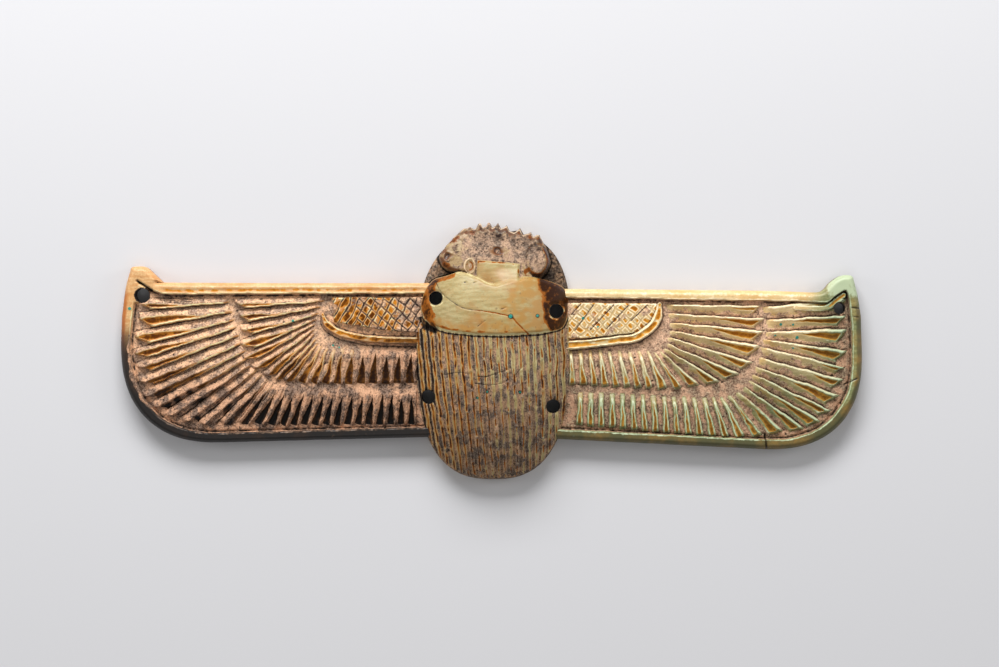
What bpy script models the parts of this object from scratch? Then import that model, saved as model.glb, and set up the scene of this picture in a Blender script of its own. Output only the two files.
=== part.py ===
"""Winged scarab amulet, carved in one piece from soft stone and glazed.

Metres, +Z up. The piece lies on its flat back at z = 0. The beetle's head points to +Y,
its rounded back faces +Z, and the wings reach out along X.
"""

import math

import bmesh
import bpy
from mathutils import Matrix, Vector

# Wing plates. A place on a wing is written as shares of its reach, outwards from the
# beetle's axis, and of its chord, upwards from the leading edge.
WING_REACH = 0.0725
WING_CHORD = 0.0312
WING_THICKNESS = 0.0040
RIM_WIDTH = 0.0019
RIM_CHAMFER = 0.0006
RIM_WALL_RUN = 0.0003
FIELD_DEPTH = 0.0013
WING_ROOT_IN_BEETLE = 0.70
TRAILING_CORNER = (0.739, -0.374)
TRAILING_CORNER_SQUARENESS = 2.4
TRAILING_EDGE_AT_ROOT = -0.965
CORNER_STEPS = 9
FIELD_TIP = (0.957, 0.030)
FIELD_TIP_SLANT = 0.008

# Where each wing sits: side of the axis, height of its leading edge, slope in degrees
LEFT_WING_LEAD = 0.0131
LEFT_WING_TILT = 0.0
RIGHT_WING_LEAD = 0.0122
RIGHT_WING_TILT = -1.2
LEFT_TIP = ((0.884, 0.0), (0.895, 0.022), (0.936, 0.103), (0.972, 0.099), (0.987, -0.034), (0.997, -0.209))
RIGHT_TIP = ((0.884, 0.0), (0.912, 0.040), (0.937, 0.092), (0.962, 0.112), (0.975, 0.096), (0.988, -0.030),
             (0.997, -0.209))

# Feathers. A key is a feather's number, its root and its tip. Those between keys are spaced evenly.
OUTER_FEATHERS = 28
OUTER_KEYS = (
    (0, (0.709, -0.118), (0.940, -0.140)),
    (3, (0.700, -0.285), (0.950, -0.455)),
    (6, (0.690, -0.447), (0.915, -0.735)),
    (9, (0.650, -0.600), (0.800, -0.890)),
    (13, (0.585, -0.690), (0.612, -0.900)),
    (27, (0.221, -0.672), (0.221, -0.885)),
)
INNER_FEATHERS = 19
INNER_KEYS = (
    (0, (0.478, -0.100), (0.687, -0.120)),
    (3, (0.488, -0.235), (0.667, -0.385)),
    (6, (0.484, -0.342), (0.592, -0.575)),
    (9, (0.457, -0.410), (0.487, -0.625)),
    (18, (0.214, -0.418), (0.214, -0.625)),
)
OUTER_FEATHER_RISE = 0.0007
INNER_FEATHER_RISE = 0.0009
FEATHER_FILL_ROOT = 0.44
FEATHER_FILL_TIP = 0.74
FEATHER_FOOT_SPREAD = 0.12
FEATHER_TIP_CUT = 0.55
GOUGE_DEPTH = 0.00045
GOUGE_START = 0.30
GOUGE_END = 0.88
GOUGE_FILL = 0.62

# Scale pattern at the wing's root, with the band round it
LATTICE_RISE = 0.0010
LATTICE_OUT = 0.434
LATTICE_UP = (-0.085, -0.320)
LATTICE_DROP = 0.070
LATTICE_SLANT = 0.012
LATTICE_PITCH = 0.0021
LATTICE_HEIGHT = 0.0021
LATTICE_RIB = 0.00025
LATTICE_MARGIN = 0.1
PIT_DEPTH = 0.0004
BAND_WIDTH = 0.0017
BAND_RISE = 0.0012
BAND_GROOVE = 0.0005
BAND_CORNER = (0.452, -0.318)
BAND_ROOT_UP = -0.368
LEFT_BAND_ARM = -0.140
RIGHT_BAND_ARM = -0.095
BAND_STEPS = 7
BAND_ARM_SLANT = 0.008
BAND_BEND = (0.45, 0.20)
BAND_CREST = 0.36
BAND_LIP = 0.20

# Beetle. Its base is an oval plate. Places on it are shares of its half width and half length.
BEETLE_WIDTH = 0.0304
BEETLE_LENGTH = 0.0506
BEETLE_OFFSET = 0.0003
BASE_THICKNESS = 0.0030
BASE_SQUARENESS = 2.3
BASE_STEPS = 48
FRONT_LEAN = -3.4
FRONT_LEAN_START = 0.13

# The beetle's back: one smooth dome, with the wing cases and the shield raised on it
BACK_TOP = 0.0125
BACK_PEAK = 0.08
BACK_SQUARENESS = 2.8
BACK_FRONT_REACH = 0.0210
BACK_END = 0.53
GROOVE_DEPTH = 0.0010

# Wing cases: ridges that run down the back and lean to the right
CASES_INSET = 0.0005
CASES_START = 0.20
CASES_RIDGES = 22
CASES_RIDGE_HEIGHT = 0.0006
CASES_LEAN = 3.6
CASES_CONVERGE = 0.16
CASES_SPREAD = 1.30
CASES_ROWS = 13

# Shield behind the head, between these shares of the beetle's half length
SHIELD_RISE = 0.0003
SHIELD_SPAN = (0.0, 0.68)
SHIELD_OVERHANG = 1.10
SHIELD_OUTLINE = (
    (-0.93, 0.205), (-0.45, 0.122), (0.0, 0.108), (0.45, 0.116), (0.93, 0.180), (0.985, 0.310),
    (0.95, 0.430), (0.84, 0.500), (0.45, 0.570), (0.20, 0.555), (0.0, 0.510), (-0.20, 0.560),
    (-0.45, 0.590), (-0.80, 0.530), (-0.93, 0.430), (-0.960, 0.310),
)

# Head, sloping down to its toothed front edge, with two eyes and a plate at the neck
HEAD_TOP = 0.0092
HEAD_FRONT = 0.0056
HEAD_CROWN = 0.0016
HEAD_SPAN = (0.38, 1.04)
HEAD_NECK = 0.51
HEAD_ROOT = (0.30, 0.42)
HEAD_SIDES = ((0.72, 0.520), (0.76, 0.640), (0.70, 0.760), (0.58, 0.850))
CLYPEUS_HALF = 0.50
CLYPEUS_FRONT = 0.975
CLYPEUS_DROP = 0.070
CLYPEUS_TEETH = 9
TOOTH_LENGTH = 0.0009
EYE_PLACE = (0.50, 0.690)
EYE_SIZE = (0.0042, 0.0058)
EYE_RISE = 0.0008
NECK_PLATE = ((-0.28, 0.480), (0.28, 0.480), (0.22, 0.680), (-0.22, 0.680))
NECK_RISE = 0.0005
BOSS_RINGS = ((1.0, 0.0), (0.72, 0.8), (0.35, 1.0))
BOSS_STEPS = 12
GRID_STEP = 0.0020

# Holes for sewing, straight through
HOLE_DIAMETER = 0.0026
TIP_HOLE_DIAMETER = 0.0023
HOLE_SIDES = 16
TIP_HOLE = (0.941, -0.078)
BEETLE_HOLES = ((-0.73, 0.400), (0.81, 0.300), (-0.83, -0.360), (0.77, -0.430))

# Forms are drawn down below the back and cut level at z = 0. Raised carving is sunk a little
# into what it stands on, and cutters start a little above what they cut.
BELOW = 0.0020
SINK = 0.0003
CLEARANCE = 0.00005

GLAZE_COLOUR = (0.36, 0.30, 0.19, 1.0)
GLAZE_ROUGHNESS = 0.42


def clear_scene():
    """Remove every object of the open file."""
    for item in list(bpy.data.objects):
        bpy.data.objects.remove(item, do_unlink=True)


def glazed_stone():
    """Return the material of the carved piece: pale green-brown glaze over stone."""
    material = bpy.data.materials.new("glazed_stone")
    material.use_nodes = True
    shader = material.node_tree.nodes["Principled BSDF"]
    shader.inputs["Base Color"].default_value = GLAZE_COLOUR
    shader.inputs["Roughness"].default_value = GLAZE_ROUGHNESS
    shader.inputs["Metallic"].default_value = 0.0
    return material


def make_object(name, bm, hidden=True):
    """Turn a bmesh into a named object; a hidden one only shapes the others."""
    bmesh.ops.recalc_face_normals(bm, faces=bm.faces)
    mesh = bpy.data.meshes.new(name)
    bm.to_mesh(mesh)
    bm.free()
    item = bpy.data.objects.new(name, mesh)
    bpy.context.scene.collection.objects.link(item)
    if hidden:
        item.hide_render = True
        item.display_type = "WIRE"
    return item


def shape_with(target, name, tools, operation):
    """Join a group of tools to the target, or cut them all out, with one Boolean modifier."""
    group = bpy.data.collections.new(name)
    bpy.context.scene.collection.children.link(group)
    for tool in tools:
        group.objects.link(tool)
        bpy.context.scene.collection.objects.unlink(tool)
    modifier = target.modifiers.new(name, "BOOLEAN")
    modifier.operation = operation
    modifier.operand_type = "COLLECTION"
    modifier.collection = group
    modifier.solver = "EXACT"


def blend(start, end, share):
    """Return the point a share of the way from start to end."""
    return start + (end - start) * share


def loft(bm, rings):
    """Bridge rings of equal length from the lowest to the highest and close both ends."""
    loops = [[bm.verts.new(point) for point in ring] for ring in rings]
    for lower, upper in zip(loops, loops[1:]):
        for i in range(len(lower)):
            j = (i + 1) % len(lower)
            bm.faces.new((lower[i], lower[j], upper[j], upper[i]))
    bm.faces.new(reversed(loops[0]))
    bm.faces.new(loops[-1])


def superellipse(centre, half_width, half_length, squareness, steps):
    """Return points round a squared oval, as (x, y) pairs."""
    points = []
    for i in range(steps):
        angle = 2.0 * math.pi * i / steps
        c, s = math.cos(angle), math.sin(angle)
        power = 2.0 / squareness
        points.append((centre[0] + half_width * math.copysign(abs(c) ** power, c),
                       centre[1] + half_length * math.copysign(abs(s) ** power, s)))
    return points


class WingFrame:
    """Turns shares of a wing's reach and chord into places on the piece."""

    def __init__(self, side, lead, tilt):
        self.side = side
        self.lead = lead
        self.turn = math.tan(math.radians(tilt))

    def place(self, share, height=0.0):
        """Return the point at a (reach, chord) share and a height above the back."""
        out = share[0] * WING_REACH
        up = self.lead + share[1] * WING_CHORD + out * self.turn
        return Vector((self.side * out, up, height))


def wing_root():
    """Return the share of the reach where a wing starts, inside the beetle."""
    return WING_ROOT_IN_BEETLE * 0.5 * BEETLE_WIDTH / WING_REACH


def wing_outline(tip, rim=0.0):
    """Return a wing's outline in shares, or the line that lies a rim's width inside it."""
    rim_out = rim / WING_REACH
    rim_up = rim / WING_CHORD
    corner_out, corner_up = TRAILING_CORNER
    power = 2.0 / TRAILING_CORNER_SQUARENESS
    points = [(wing_root(), -rim_up)] + list(tip)
    for i in range(CORNER_STEPS + 1):
        angle = 0.5 * math.pi * i / CORNER_STEPS
        points.append((corner_out + (1.0 - rim_out - corner_out) * math.cos(angle) ** power,
                       corner_up - (1.0 - rim_up + corner_up) * math.sin(angle) ** power))
    points.append((wing_root(), TRAILING_EDGE_AT_ROOT + rim_up))
    return points


def field_tip():
    """Return the corner of the sunk field under the wing's tip, in shares."""
    rim_out = RIM_WIDTH / WING_REACH
    rim_up = RIM_WIDTH / WING_CHORD
    notch = LEFT_TIP[0]
    return ((notch[0], -rim_up), (notch[0] + rim_out, FIELD_TIP[1] - rim_up), FIELD_TIP,
            (1.0 - rim_out - FIELD_TIP_SLANT, -rim_up))


def wing_plate(name, frame, tip):
    """Make one wing's plate: a chamfered slab with a sunk field inside its rim."""
    shares = wing_outline(tip)
    slab = bmesh.new()
    loft(slab, [[frame.place(share, height) for share in shares]
                for height in (-BELOW, WING_THICKNESS - RIM_CHAMFER)])
    bmesh.ops.recalc_face_normals(slab, faces=slab.faces)
    top = max(slab.faces, key=lambda item: item.calc_center_median().z)
    bmesh.ops.inset_region(slab, faces=[top], thickness=RIM_CHAMFER, use_even_offset=True)
    bmesh.ops.translate(slab, verts=list(top.verts), vec=(0.0, 0.0, RIM_CHAMFER))
    plate = make_object(name, slab)
    field = bmesh.new()
    low = wing_outline(field_tip(), RIM_WIDTH + RIM_WALL_RUN)
    high = wing_outline(field_tip(), RIM_WIDTH)
    loft(field, [[frame.place(share, WING_THICKNESS - FIELD_DEPTH) for share in low],
                 [frame.place(share, WING_THICKNESS + CLEARANCE) for share in high]])
    shape_with(plate, name + "_cut", [make_object(name + "_field", field)], "DIFFERENCE")
    return plate


def feather_lines(keys, count, frame):
    """Return each feather's root and tip, spaced evenly between the keyed ones."""
    lines = []
    for number in range(count):
        before = max((key for key in keys if key[0] <= number), key=lambda key: key[0])
        after = min((key for key in keys if key[0] >= number), key=lambda key: key[0])
        gap = max(after[0] - before[0], 1)
        share = (number - before[0]) / gap
        root = blend(frame.place(before[1]), frame.place(after[1]), share)
        tip = blend(frame.place(before[2]), frame.place(after[2]), share)
        lines.append((root, tip))
    return lines


def between(lines, i, end):
    """Return the borders of feather i with its neighbours, at its root or its tip."""
    here = lines[i][end]
    before = lines[i - 1][end] if i > 0 else here * 2.0 - lines[1][end]
    after = lines[i + 1][end] if i + 1 < len(lines) else here * 2.0 - lines[i - 1][end]
    return (here + before) * 0.5, (here + after) * 0.5


def feather_corners(lines, i, fill_root, fill_tip):
    """Return a feather's four corners in plan, its tip cut at a slant."""
    root, tip = lines[i]
    root_before, root_after = between(lines, i, 0)
    tip_before, tip_after = between(lines, i, 1)
    along = (tip - root).normalized()
    width = (tip_before - tip_after).length
    flatness = abs(along.x)
    cut = along * (width * FEATHER_TIP_CUT * flatness)
    return [blend(root, root_before, fill_root), blend(root, root_after, fill_root),
            blend(tip, tip_after, fill_tip) - cut, blend(tip, tip_before, fill_tip) + cut * 0.5]


def at_height(points, height):
    """Return points of a plan at one height."""
    return [Vector((point.x, point.y, height)) for point in points]


def gouge(bm, crest, top):
    """Add the cutter of one gouge: a point near the root that widens and deepens to the tip."""
    root_side, root_other, tip_other, tip_side = crest
    root = blend(root_side, root_other, 0.5)
    tip = blend(tip_side, tip_other, 0.5)
    start = blend(root, tip, GOUGE_START)
    end = blend(root, tip, GOUGE_END)
    half = (tip_side - tip_other) * (0.5 * GOUGE_FILL)
    rim = at_height([start, end + half, end - half], top + CLEARANCE)
    corners = [bm.verts.new(point) for point in rim + at_height([end], top - GOUGE_DEPTH)]
    for picks in ((0, 1, 2), (0, 3, 1), (0, 2, 3), (1, 3, 2)):
        bm.faces.new([corners[k] for k in picks])


def feather_row(name, frame, keys, count, rise):
    """Make a row of raised feathers that widen to their tips, and the gouges down them."""
    field = WING_THICKNESS - FIELD_DEPTH
    lines = feather_lines(keys, count, frame)
    bars = bmesh.new()
    gouges = bmesh.new()
    for i in range(count):
        foot = feather_corners(lines, i, FEATHER_FILL_ROOT + FEATHER_FOOT_SPREAD,
                               FEATHER_FILL_TIP + FEATHER_FOOT_SPREAD)
        crest = feather_corners(lines, i, FEATHER_FILL_ROOT, FEATHER_FILL_TIP)
        loft(bars, [at_height(foot, field - SINK), at_height(crest, field + rise)])
        gouge(gouges, crest, field + rise)
    return make_object(name, bars), make_object(name + "_gouges", gouges)


def scale_pits(frame, corners, top):
    """Make the staggered rows of diamond pits that fit between the corners of the scale field."""
    root, (outer, upper), (outer_low, lower_out), (inner, lower_in) = corners
    half_out = 0.5 * LATTICE_PITCH / WING_REACH
    half_up = 0.5 * LATTICE_HEIGHT / WING_CHORD
    pit = 1.0 - LATTICE_RIB / (0.5 * LATTICE_PITCH)
    visible = 0.5 * BEETLE_WIDTH / WING_REACH
    pits = bmesh.new()
    for row in range(1, int((upper - lower_in) / half_up)):
        up = upper - (row + LATTICE_MARGIN) * half_up
        for column in range(int((outer - visible) / (2.0 * half_out))):
            out = outer - (column + 1.0 + 0.5 * (row % 2)) * 2.0 * half_out
            share = (out - inner) / (outer_low - inner)
            if up - half_up < lower_in + (lower_out - lower_in) * share or out - half_out < visible:
                continue
            ring = [pits.verts.new(frame.place(corner, top + CLEARANCE)) for corner in (
                (out - half_out * pit, up), (out, up - half_up * pit), (out + half_out * pit, up),
                (out, up + half_up * pit))]
            point = pits.verts.new(frame.place((out, up), top - PIT_DEPTH))
            pits.faces.new(ring)
            for k in range(4):
                pits.faces.new((ring[k], ring[(k + 1) % 4], point))
    return pits


def scale_field(name, frame):
    """Make the raised field of the scale pattern at the wing's root, and its diamond pits."""
    field = WING_THICKNESS - FIELD_DEPTH
    top = field + LATTICE_RISE
    upper, lower = LATTICE_UP
    corners = ((wing_root(), upper), (LATTICE_OUT, upper),
               (LATTICE_OUT - LATTICE_SLANT, lower + LATTICE_DROP), (wing_root(), lower))
    block = bmesh.new()
    loft(block, [[frame.place(share, height) for share in corners] for height in (field - SINK, top)])
    return make_object(name, block), make_object(name + "_pits", scale_pits(frame, corners, top))


def band_path(frame, arm):
    """Return the band's line in plan: down its arm, round the corner, in to the beetle."""
    top = frame.place((BAND_CORNER[0] + BAND_ARM_SLANT, arm))
    corner = frame.place(BAND_CORNER)
    root = frame.place((wing_root(), BAND_ROOT_UP))
    bend_start = blend(corner, top, BAND_BEND[0])
    bend_end = blend(corner, root, BAND_BEND[1])
    points = [top]
    for i in range(BAND_STEPS + 1):
        t = i / BAND_STEPS
        points.append(bend_start * (1 - t) ** 2 + corner * (2 * t * (1 - t)) + bend_end * t ** 2)
    points.append(root)
    return points


def band(name, frame, arm):
    """Make the raised band under the scale pattern, with a groove along its middle."""
    field = WING_THICKNESS - FIELD_DEPTH
    top = field + BAND_RISE
    half_profile = ((0.5, field - SINK), (BAND_CREST, top), (BAND_LIP, top))
    profile = ([(-shift, height) for shift, height in half_profile] + [(0.0, top - BAND_GROOVE)]
               + list(reversed(half_profile)))
    path = band_path(frame, arm)
    rings = []
    for i, point in enumerate(path):
        ahead = path[min(i + 1, len(path) - 1)] - path[max(i - 1, 0)]
        across = Vector((-ahead.y, ahead.x, 0.0)).normalized() * BAND_WIDTH
        rings.append([Vector((point.x, point.y, 0.0)) + across * shift + Vector((0.0, 0.0, height))
                      for shift, height in profile])
    bm = bmesh.new()
    loft(bm, rings)
    return make_object(name, bm)


def beetle_point(share, lean=True):
    """Return a place on the beetle in plan; its front part leans a little to the right."""
    point = Vector((share[0] * 0.5 * BEETLE_WIDTH, share[1] * 0.5 * BEETLE_LENGTH, 0.0))
    if lean:
        hinge = Vector((0.0, FRONT_LEAN_START * 0.5 * BEETLE_LENGTH, 0.0))
        point = Matrix.Rotation(math.radians(FRONT_LEAN), 4, "Z") @ (point - hinge) + hinge
    return point + Vector((BEETLE_OFFSET, 0.0, 0.0))


def prism(name, points, low, high):
    """Make an upright block over a plan."""
    bm = bmesh.new()
    loft(bm, [at_height(points, low), at_height(points, high)])
    return make_object(name, bm)


def base_plate():
    """Make the oval base that the beetle lies on. It is also the body that all else joins."""
    oval = [beetle_point(share, lean=False)
            for share in superellipse((0.0, 0.0), 1.0, 1.0, BASE_SQUARENESS, BASE_STEPS)]
    plate = prism("winged_scarab", oval, -BELOW * 1.5, BASE_THICKNESS)
    plate.hide_render = False
    plate.display_type = "TEXTURED"
    return plate


def back_height(x, y):
    """Return the height of the smooth back at a place in plan, measured from the beetle's axis."""
    peak = BACK_PEAK * 0.5 * BEETLE_LENGTH
    reach = 0.5 * BEETLE_LENGTH + peak if y < peak else BACK_FRONT_REACH
    across = abs(x) / (0.5 * BEETLE_WIDTH)
    along = abs(y - peak) / reach
    fall = across ** BACK_SQUARENESS + along ** BACK_SQUARENESS
    return BASE_THICKNESS + (BACK_TOP - BASE_THICKNESS) * (1.0 - fall)


def head_height(x, y):
    """Return the head's height at a place in plan: a slope to the front with a rounded crown."""
    neck = HEAD_NECK * 0.5 * BEETLE_LENGTH
    front = CLYPEUS_FRONT * 0.5 * BEETLE_LENGTH
    slope = max((y - neck) / (front - neck), 0.0)
    crown = (x / (0.5 * BEETLE_WIDTH)) ** 2
    return HEAD_TOP + (HEAD_FRONT - HEAD_TOP) * slope ** 2 - HEAD_CROWN * crown


def relief_slab(name, rows, height):
    """Make a closed slab from rows of places in plan. Its top follows a height, its bottom is flat."""
    bm = bmesh.new()
    top = [[bm.verts.new((x + BEETLE_OFFSET, y, max(height(x, y, column), -0.5 * BELOW)))
            for column, (x, y) in enumerate(row)] for row in rows]
    low = [[bm.verts.new((x + BEETLE_OFFSET, y, -BELOW)) for x, y in row] for row in rows]
    for grid, flip in ((top, False), (low, True)):
        for first, second in zip(grid, grid[1:]):
            for k in range(len(first) - 1):
                quad = (first[k], first[k + 1], second[k + 1], second[k])
                bm.faces.new(reversed(quad) if flip else quad)
    top_edge, low_edge = [[row[0] for row in grid] + grid[-1][1:-1] + [row[-1] for row in reversed(grid)]
                          + grid[0][-2:0:-1] for grid in (top, low)]
    for i in range(len(top_edge)):
        j = (i + 1) % len(top_edge)
        bm.faces.new((top_edge[i], top_edge[j], low_edge[j], low_edge[i]))
    return make_object(name, bm)


def plain_rows(half_width, start, end):
    """Return rows of places in plan on an even grid about the beetle's axis."""
    columns = 2 * math.ceil(half_width / GRID_STEP)
    count = math.ceil(abs(end - start) / GRID_STEP)
    return [[(half_width * (2.0 * column / columns - 1.0), start + (end - start) * row / count)
             for column in range(columns + 1)] for row in range(count + 1)]


def ridge_rows():
    """Return rows of places in plan whose columns lean to the right and draw together."""
    half = 0.5 * BEETLE_WIDTH * CASES_SPREAD
    start = CASES_START * 0.5 * BEETLE_LENGTH
    end = -0.5 * BEETLE_LENGTH
    columns = 2 * int(CASES_RIDGES * CASES_SPREAD)
    slope = math.tan(math.radians(CASES_LEAN))
    rows = []
    for row in range(CASES_ROWS + 1):
        share = row / CASES_ROWS
        y = start + (end - start) * share
        width = half * (1.0 - CASES_CONVERGE * share * share)
        rows.append([(width * (2.0 * column / columns - 1.0) + slope * (start - y), y)
                     for column in range(columns + 1)])
    return rows


def trim_to(item, plan):
    """Cut a slab off along an upright wall over a plan."""
    block = prism(item.name + "_outline", plan, -2.0 * BELOW, 2.0 * BACK_TOP)
    shape_with(item, item.name + "_trim", [block], "INTERSECT")


def beetle_back():
    """Make the smooth back, the ridged wing cases on it and the shield in front of them."""
    half = 0.5 * BEETLE_WIDTH
    half_length = 0.5 * BEETLE_LENGTH
    size = 1.0 - CASES_INSET / half
    edge = [beetle_point(share, lean=False)
            for share in superellipse((0.0, 0.0), size, size, BASE_SQUARENESS, BASE_STEPS)]
    core = relief_slab("back", plain_rows(half, -half_length, BACK_END * half_length),
                       lambda x, y, column: back_height(x, y) - GROOVE_DEPTH)
    cases = relief_slab("wing_cases", ridge_rows(),
                        lambda x, y, column: back_height(x, y) - CASES_RIDGE_HEIGHT * (1 - column % 2))
    shield_rows = plain_rows(half * SHIELD_OVERHANG, *[end * half_length for end in SHIELD_SPAN])
    shield = relief_slab("shield", shield_rows, lambda x, y, column: back_height(x, y) + SHIELD_RISE)
    trim_to(core, edge)
    trim_to(cases, edge)
    trim_to(shield, [beetle_point(share) for share in SHIELD_OUTLINE])
    return [core, cases, shield]


def head_outline():
    """Return the head's outline in shares: its cheeks, and teeth along the front edge."""
    tooth = TOOTH_LENGTH / (0.5 * BEETLE_LENGTH)
    teeth = []
    count = 2 * CLYPEUS_TEETH
    for i in range(count + 1):
        across = 1.0 - 2.0 * i / count
        front = CLYPEUS_FRONT - CLYPEUS_DROP * across * across - (0.0 if i % 2 else tooth)
        teeth.append((across * CLYPEUS_HALF, front))
    left = [(-share[0], share[1]) for share in reversed(HEAD_SIDES)]
    root_half, root_up = HEAD_ROOT
    return [(-root_half, root_up), (root_half, root_up)] + list(HEAD_SIDES) + teeth + left


def boss(name, outline, rise):
    """Make a low boss on the head, its top sloping as the head does."""
    bm = bmesh.new()
    centre = sum((Vector(share) for share in outline), Vector((0.0, 0.0))) / len(outline)
    rings = [at_height([beetle_point(share) for share in outline], -BELOW)]
    for size, lift in BOSS_RINGS:
        ring = []
        for share in outline:
            spot = beetle_point(centre + (Vector(share) - centre) * size)
            spot.z = head_height(spot.x, spot.y) + rise * lift
            ring.append(spot)
        rings.append(ring)
    loft(bm, rings)
    return make_object(name, bm)


def head_parts():
    """Make the head, its two eyes and the plate behind it."""
    half_length = 0.5 * BEETLE_LENGTH
    head = relief_slab("head", plain_rows(0.5 * BEETLE_WIDTH, *[share * half_length for share in HEAD_SPAN]),
                       lambda x, y, column: head_height(x, y))
    trim_to(head, [beetle_point(share) for share in head_outline()])
    parts = [head]
    half_width, half_height = EYE_SIZE[0] / BEETLE_WIDTH, EYE_SIZE[1] / BEETLE_LENGTH
    for name, side in (("left_eye", -1.0), ("right_eye", 1.0)):
        oval = superellipse((side * EYE_PLACE[0], EYE_PLACE[1]), half_width, half_height, 2.0, BOSS_STEPS)
        parts.append(boss(name, oval, EYE_RISE))
    parts.append(boss("neck_plate", NECK_PLATE, NECK_RISE))
    return parts


def hole(name, place, diameter):
    """Make the cutter of one hole for sewing, long enough to pass through the piece."""
    bm = bmesh.new()
    depth = 4.0 * max(BACK_TOP, WING_THICKNESS)
    bmesh.ops.create_cone(bm, cap_ends=True, segments=HOLE_SIDES, radius1=0.5 * diameter,
                          radius2=0.5 * diameter, depth=depth, matrix=Matrix.Translation(place))
    return make_object(name, bm)


def ground():
    """Make the block that cuts every form off level with the back."""
    bm = bmesh.new()
    size = Vector((3.0 * WING_REACH, 3.0 * BEETLE_LENGTH, 4.0 * BELOW))
    matrix = Matrix.Translation((0.0, 0.0, -0.5 * size.z)) @ Matrix.Diagonal(size).to_4x4()
    bmesh.ops.create_cube(bm, size=1.0, matrix=matrix)
    return make_object("ground", bm)


def build():
    """Carve the whole piece."""
    clear_scene()
    body = base_plate()
    left = WingFrame(-1.0, LEFT_WING_LEAD, LEFT_WING_TILT)
    right = WingFrame(1.0, RIGHT_WING_LEAD, RIGHT_WING_TILT)
    joined = []
    cut = []
    for label, frame, tip, arm in (("left", left, LEFT_TIP, LEFT_BAND_ARM),
                                   ("right", right, RIGHT_TIP, RIGHT_BAND_ARM)):
        joined.append(wing_plate(label + "_wing", frame, tip))
        for row, keys, count, rise in (("outer", OUTER_KEYS, OUTER_FEATHERS, OUTER_FEATHER_RISE),
                                       ("inner", INNER_KEYS, INNER_FEATHERS, INNER_FEATHER_RISE)):
            bars, gouges = feather_row(f"{label}_{row}_feathers", frame, keys, count, rise)
            joined.append(bars)
            cut.append(gouges)
        block, pits = scale_field(label + "_scales", frame)
        joined.append(block)
        cut.append(pits)
        joined.append(band(label + "_band", frame, arm))
        cut.append(hole(label + "_tip_hole", frame.place(TIP_HOLE), TIP_HOLE_DIAMETER))
    joined += beetle_back()
    joined += head_parts()
    for number, share in enumerate(BEETLE_HOLES, start=1):
        place = beetle_point(share, lean=False)
        cut.append(hole(f"beetle_hole_{number}", place, HOLE_DIAMETER))
    cut.append(ground())
    shape_with(body, "carved_forms", joined, "UNION")
    shape_with(body, "cuts", cut, "DIFFERENCE")
    body.data.materials.append(glazed_stone())


build()
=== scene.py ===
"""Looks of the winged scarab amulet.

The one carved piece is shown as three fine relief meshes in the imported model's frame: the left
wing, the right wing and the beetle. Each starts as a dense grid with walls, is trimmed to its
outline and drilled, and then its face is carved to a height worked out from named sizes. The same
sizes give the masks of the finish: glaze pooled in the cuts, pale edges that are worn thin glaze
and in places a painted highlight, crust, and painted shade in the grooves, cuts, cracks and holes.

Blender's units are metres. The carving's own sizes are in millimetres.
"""

import logging
import math
from dataclasses import dataclass, field
from enum import Enum
from typing import Iterable, Sequence

import bpy
import numpy as np
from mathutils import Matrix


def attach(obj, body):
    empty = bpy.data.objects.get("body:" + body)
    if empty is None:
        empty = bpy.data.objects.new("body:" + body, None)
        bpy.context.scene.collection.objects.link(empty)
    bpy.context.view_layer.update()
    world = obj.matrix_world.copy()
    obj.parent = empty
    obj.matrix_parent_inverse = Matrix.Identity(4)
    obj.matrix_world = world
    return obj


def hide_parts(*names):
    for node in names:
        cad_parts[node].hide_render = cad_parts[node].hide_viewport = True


# A pair is a place or a range. A spot is a place and a radius. An oval is a place and two half widths.
Array = np.ndarray
Level = float | Array
Pair = tuple[float, float]
Spot = tuple[float, float, float]
Oval = tuple[float, float, float, float]
Colour = tuple[int, int, int]
Socket = bpy.types.NodeSocket

MM = 0.001
BODY = "root"
NODE = "winged_scarab"

logging.basicConfig(level=logging.INFO, format="%(message)s")
log = logging.getLogger("amulet")

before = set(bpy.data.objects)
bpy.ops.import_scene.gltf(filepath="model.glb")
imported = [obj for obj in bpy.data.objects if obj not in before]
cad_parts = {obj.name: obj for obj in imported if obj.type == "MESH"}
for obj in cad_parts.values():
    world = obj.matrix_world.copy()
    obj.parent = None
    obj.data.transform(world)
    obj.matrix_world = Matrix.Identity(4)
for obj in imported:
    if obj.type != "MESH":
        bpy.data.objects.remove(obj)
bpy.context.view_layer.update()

# The four holes beside the beetle, in millimetres: across, up, radius
SEWING_HOLES: tuple[Spot, ...] = ((-10.8, 10.1, 1.28), (12.6, 7.6, 1.36),
                                  (-12.3, -9.1, 1.32), (12.0, -10.9, 1.30))


class Crest(Enum):
    """Which border of a lying feather stands highest."""

    UPPER = 1.0
    LOWER = -1.0


def ramp(low: Level, high: Level, value: Array) -> Array:
    """Return a smooth step from 0 at low to 1 at high."""
    share = np.clip((value - low) / (high - low), 0.0, 1.0)
    return share * share * (3.0 - 2.0 * share)


def slope(low: Level, high: Level, value: Array) -> Array:
    """Return a straight step from 0 at low to 1 at high."""
    return np.clip((value - low) / (high - low), 0.0, 1.0)


def bell(value: Array, centre: Level, width: Level) -> Array:
    """Return a smooth bump of height 1 about a centre."""
    return np.exp(-((value - centre) / width) ** 2)


def blend(first: Level, second: Level, share: Level) -> Level:
    """Return the value a share of the way from the first to the second."""
    return first + (second - first) * share


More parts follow.
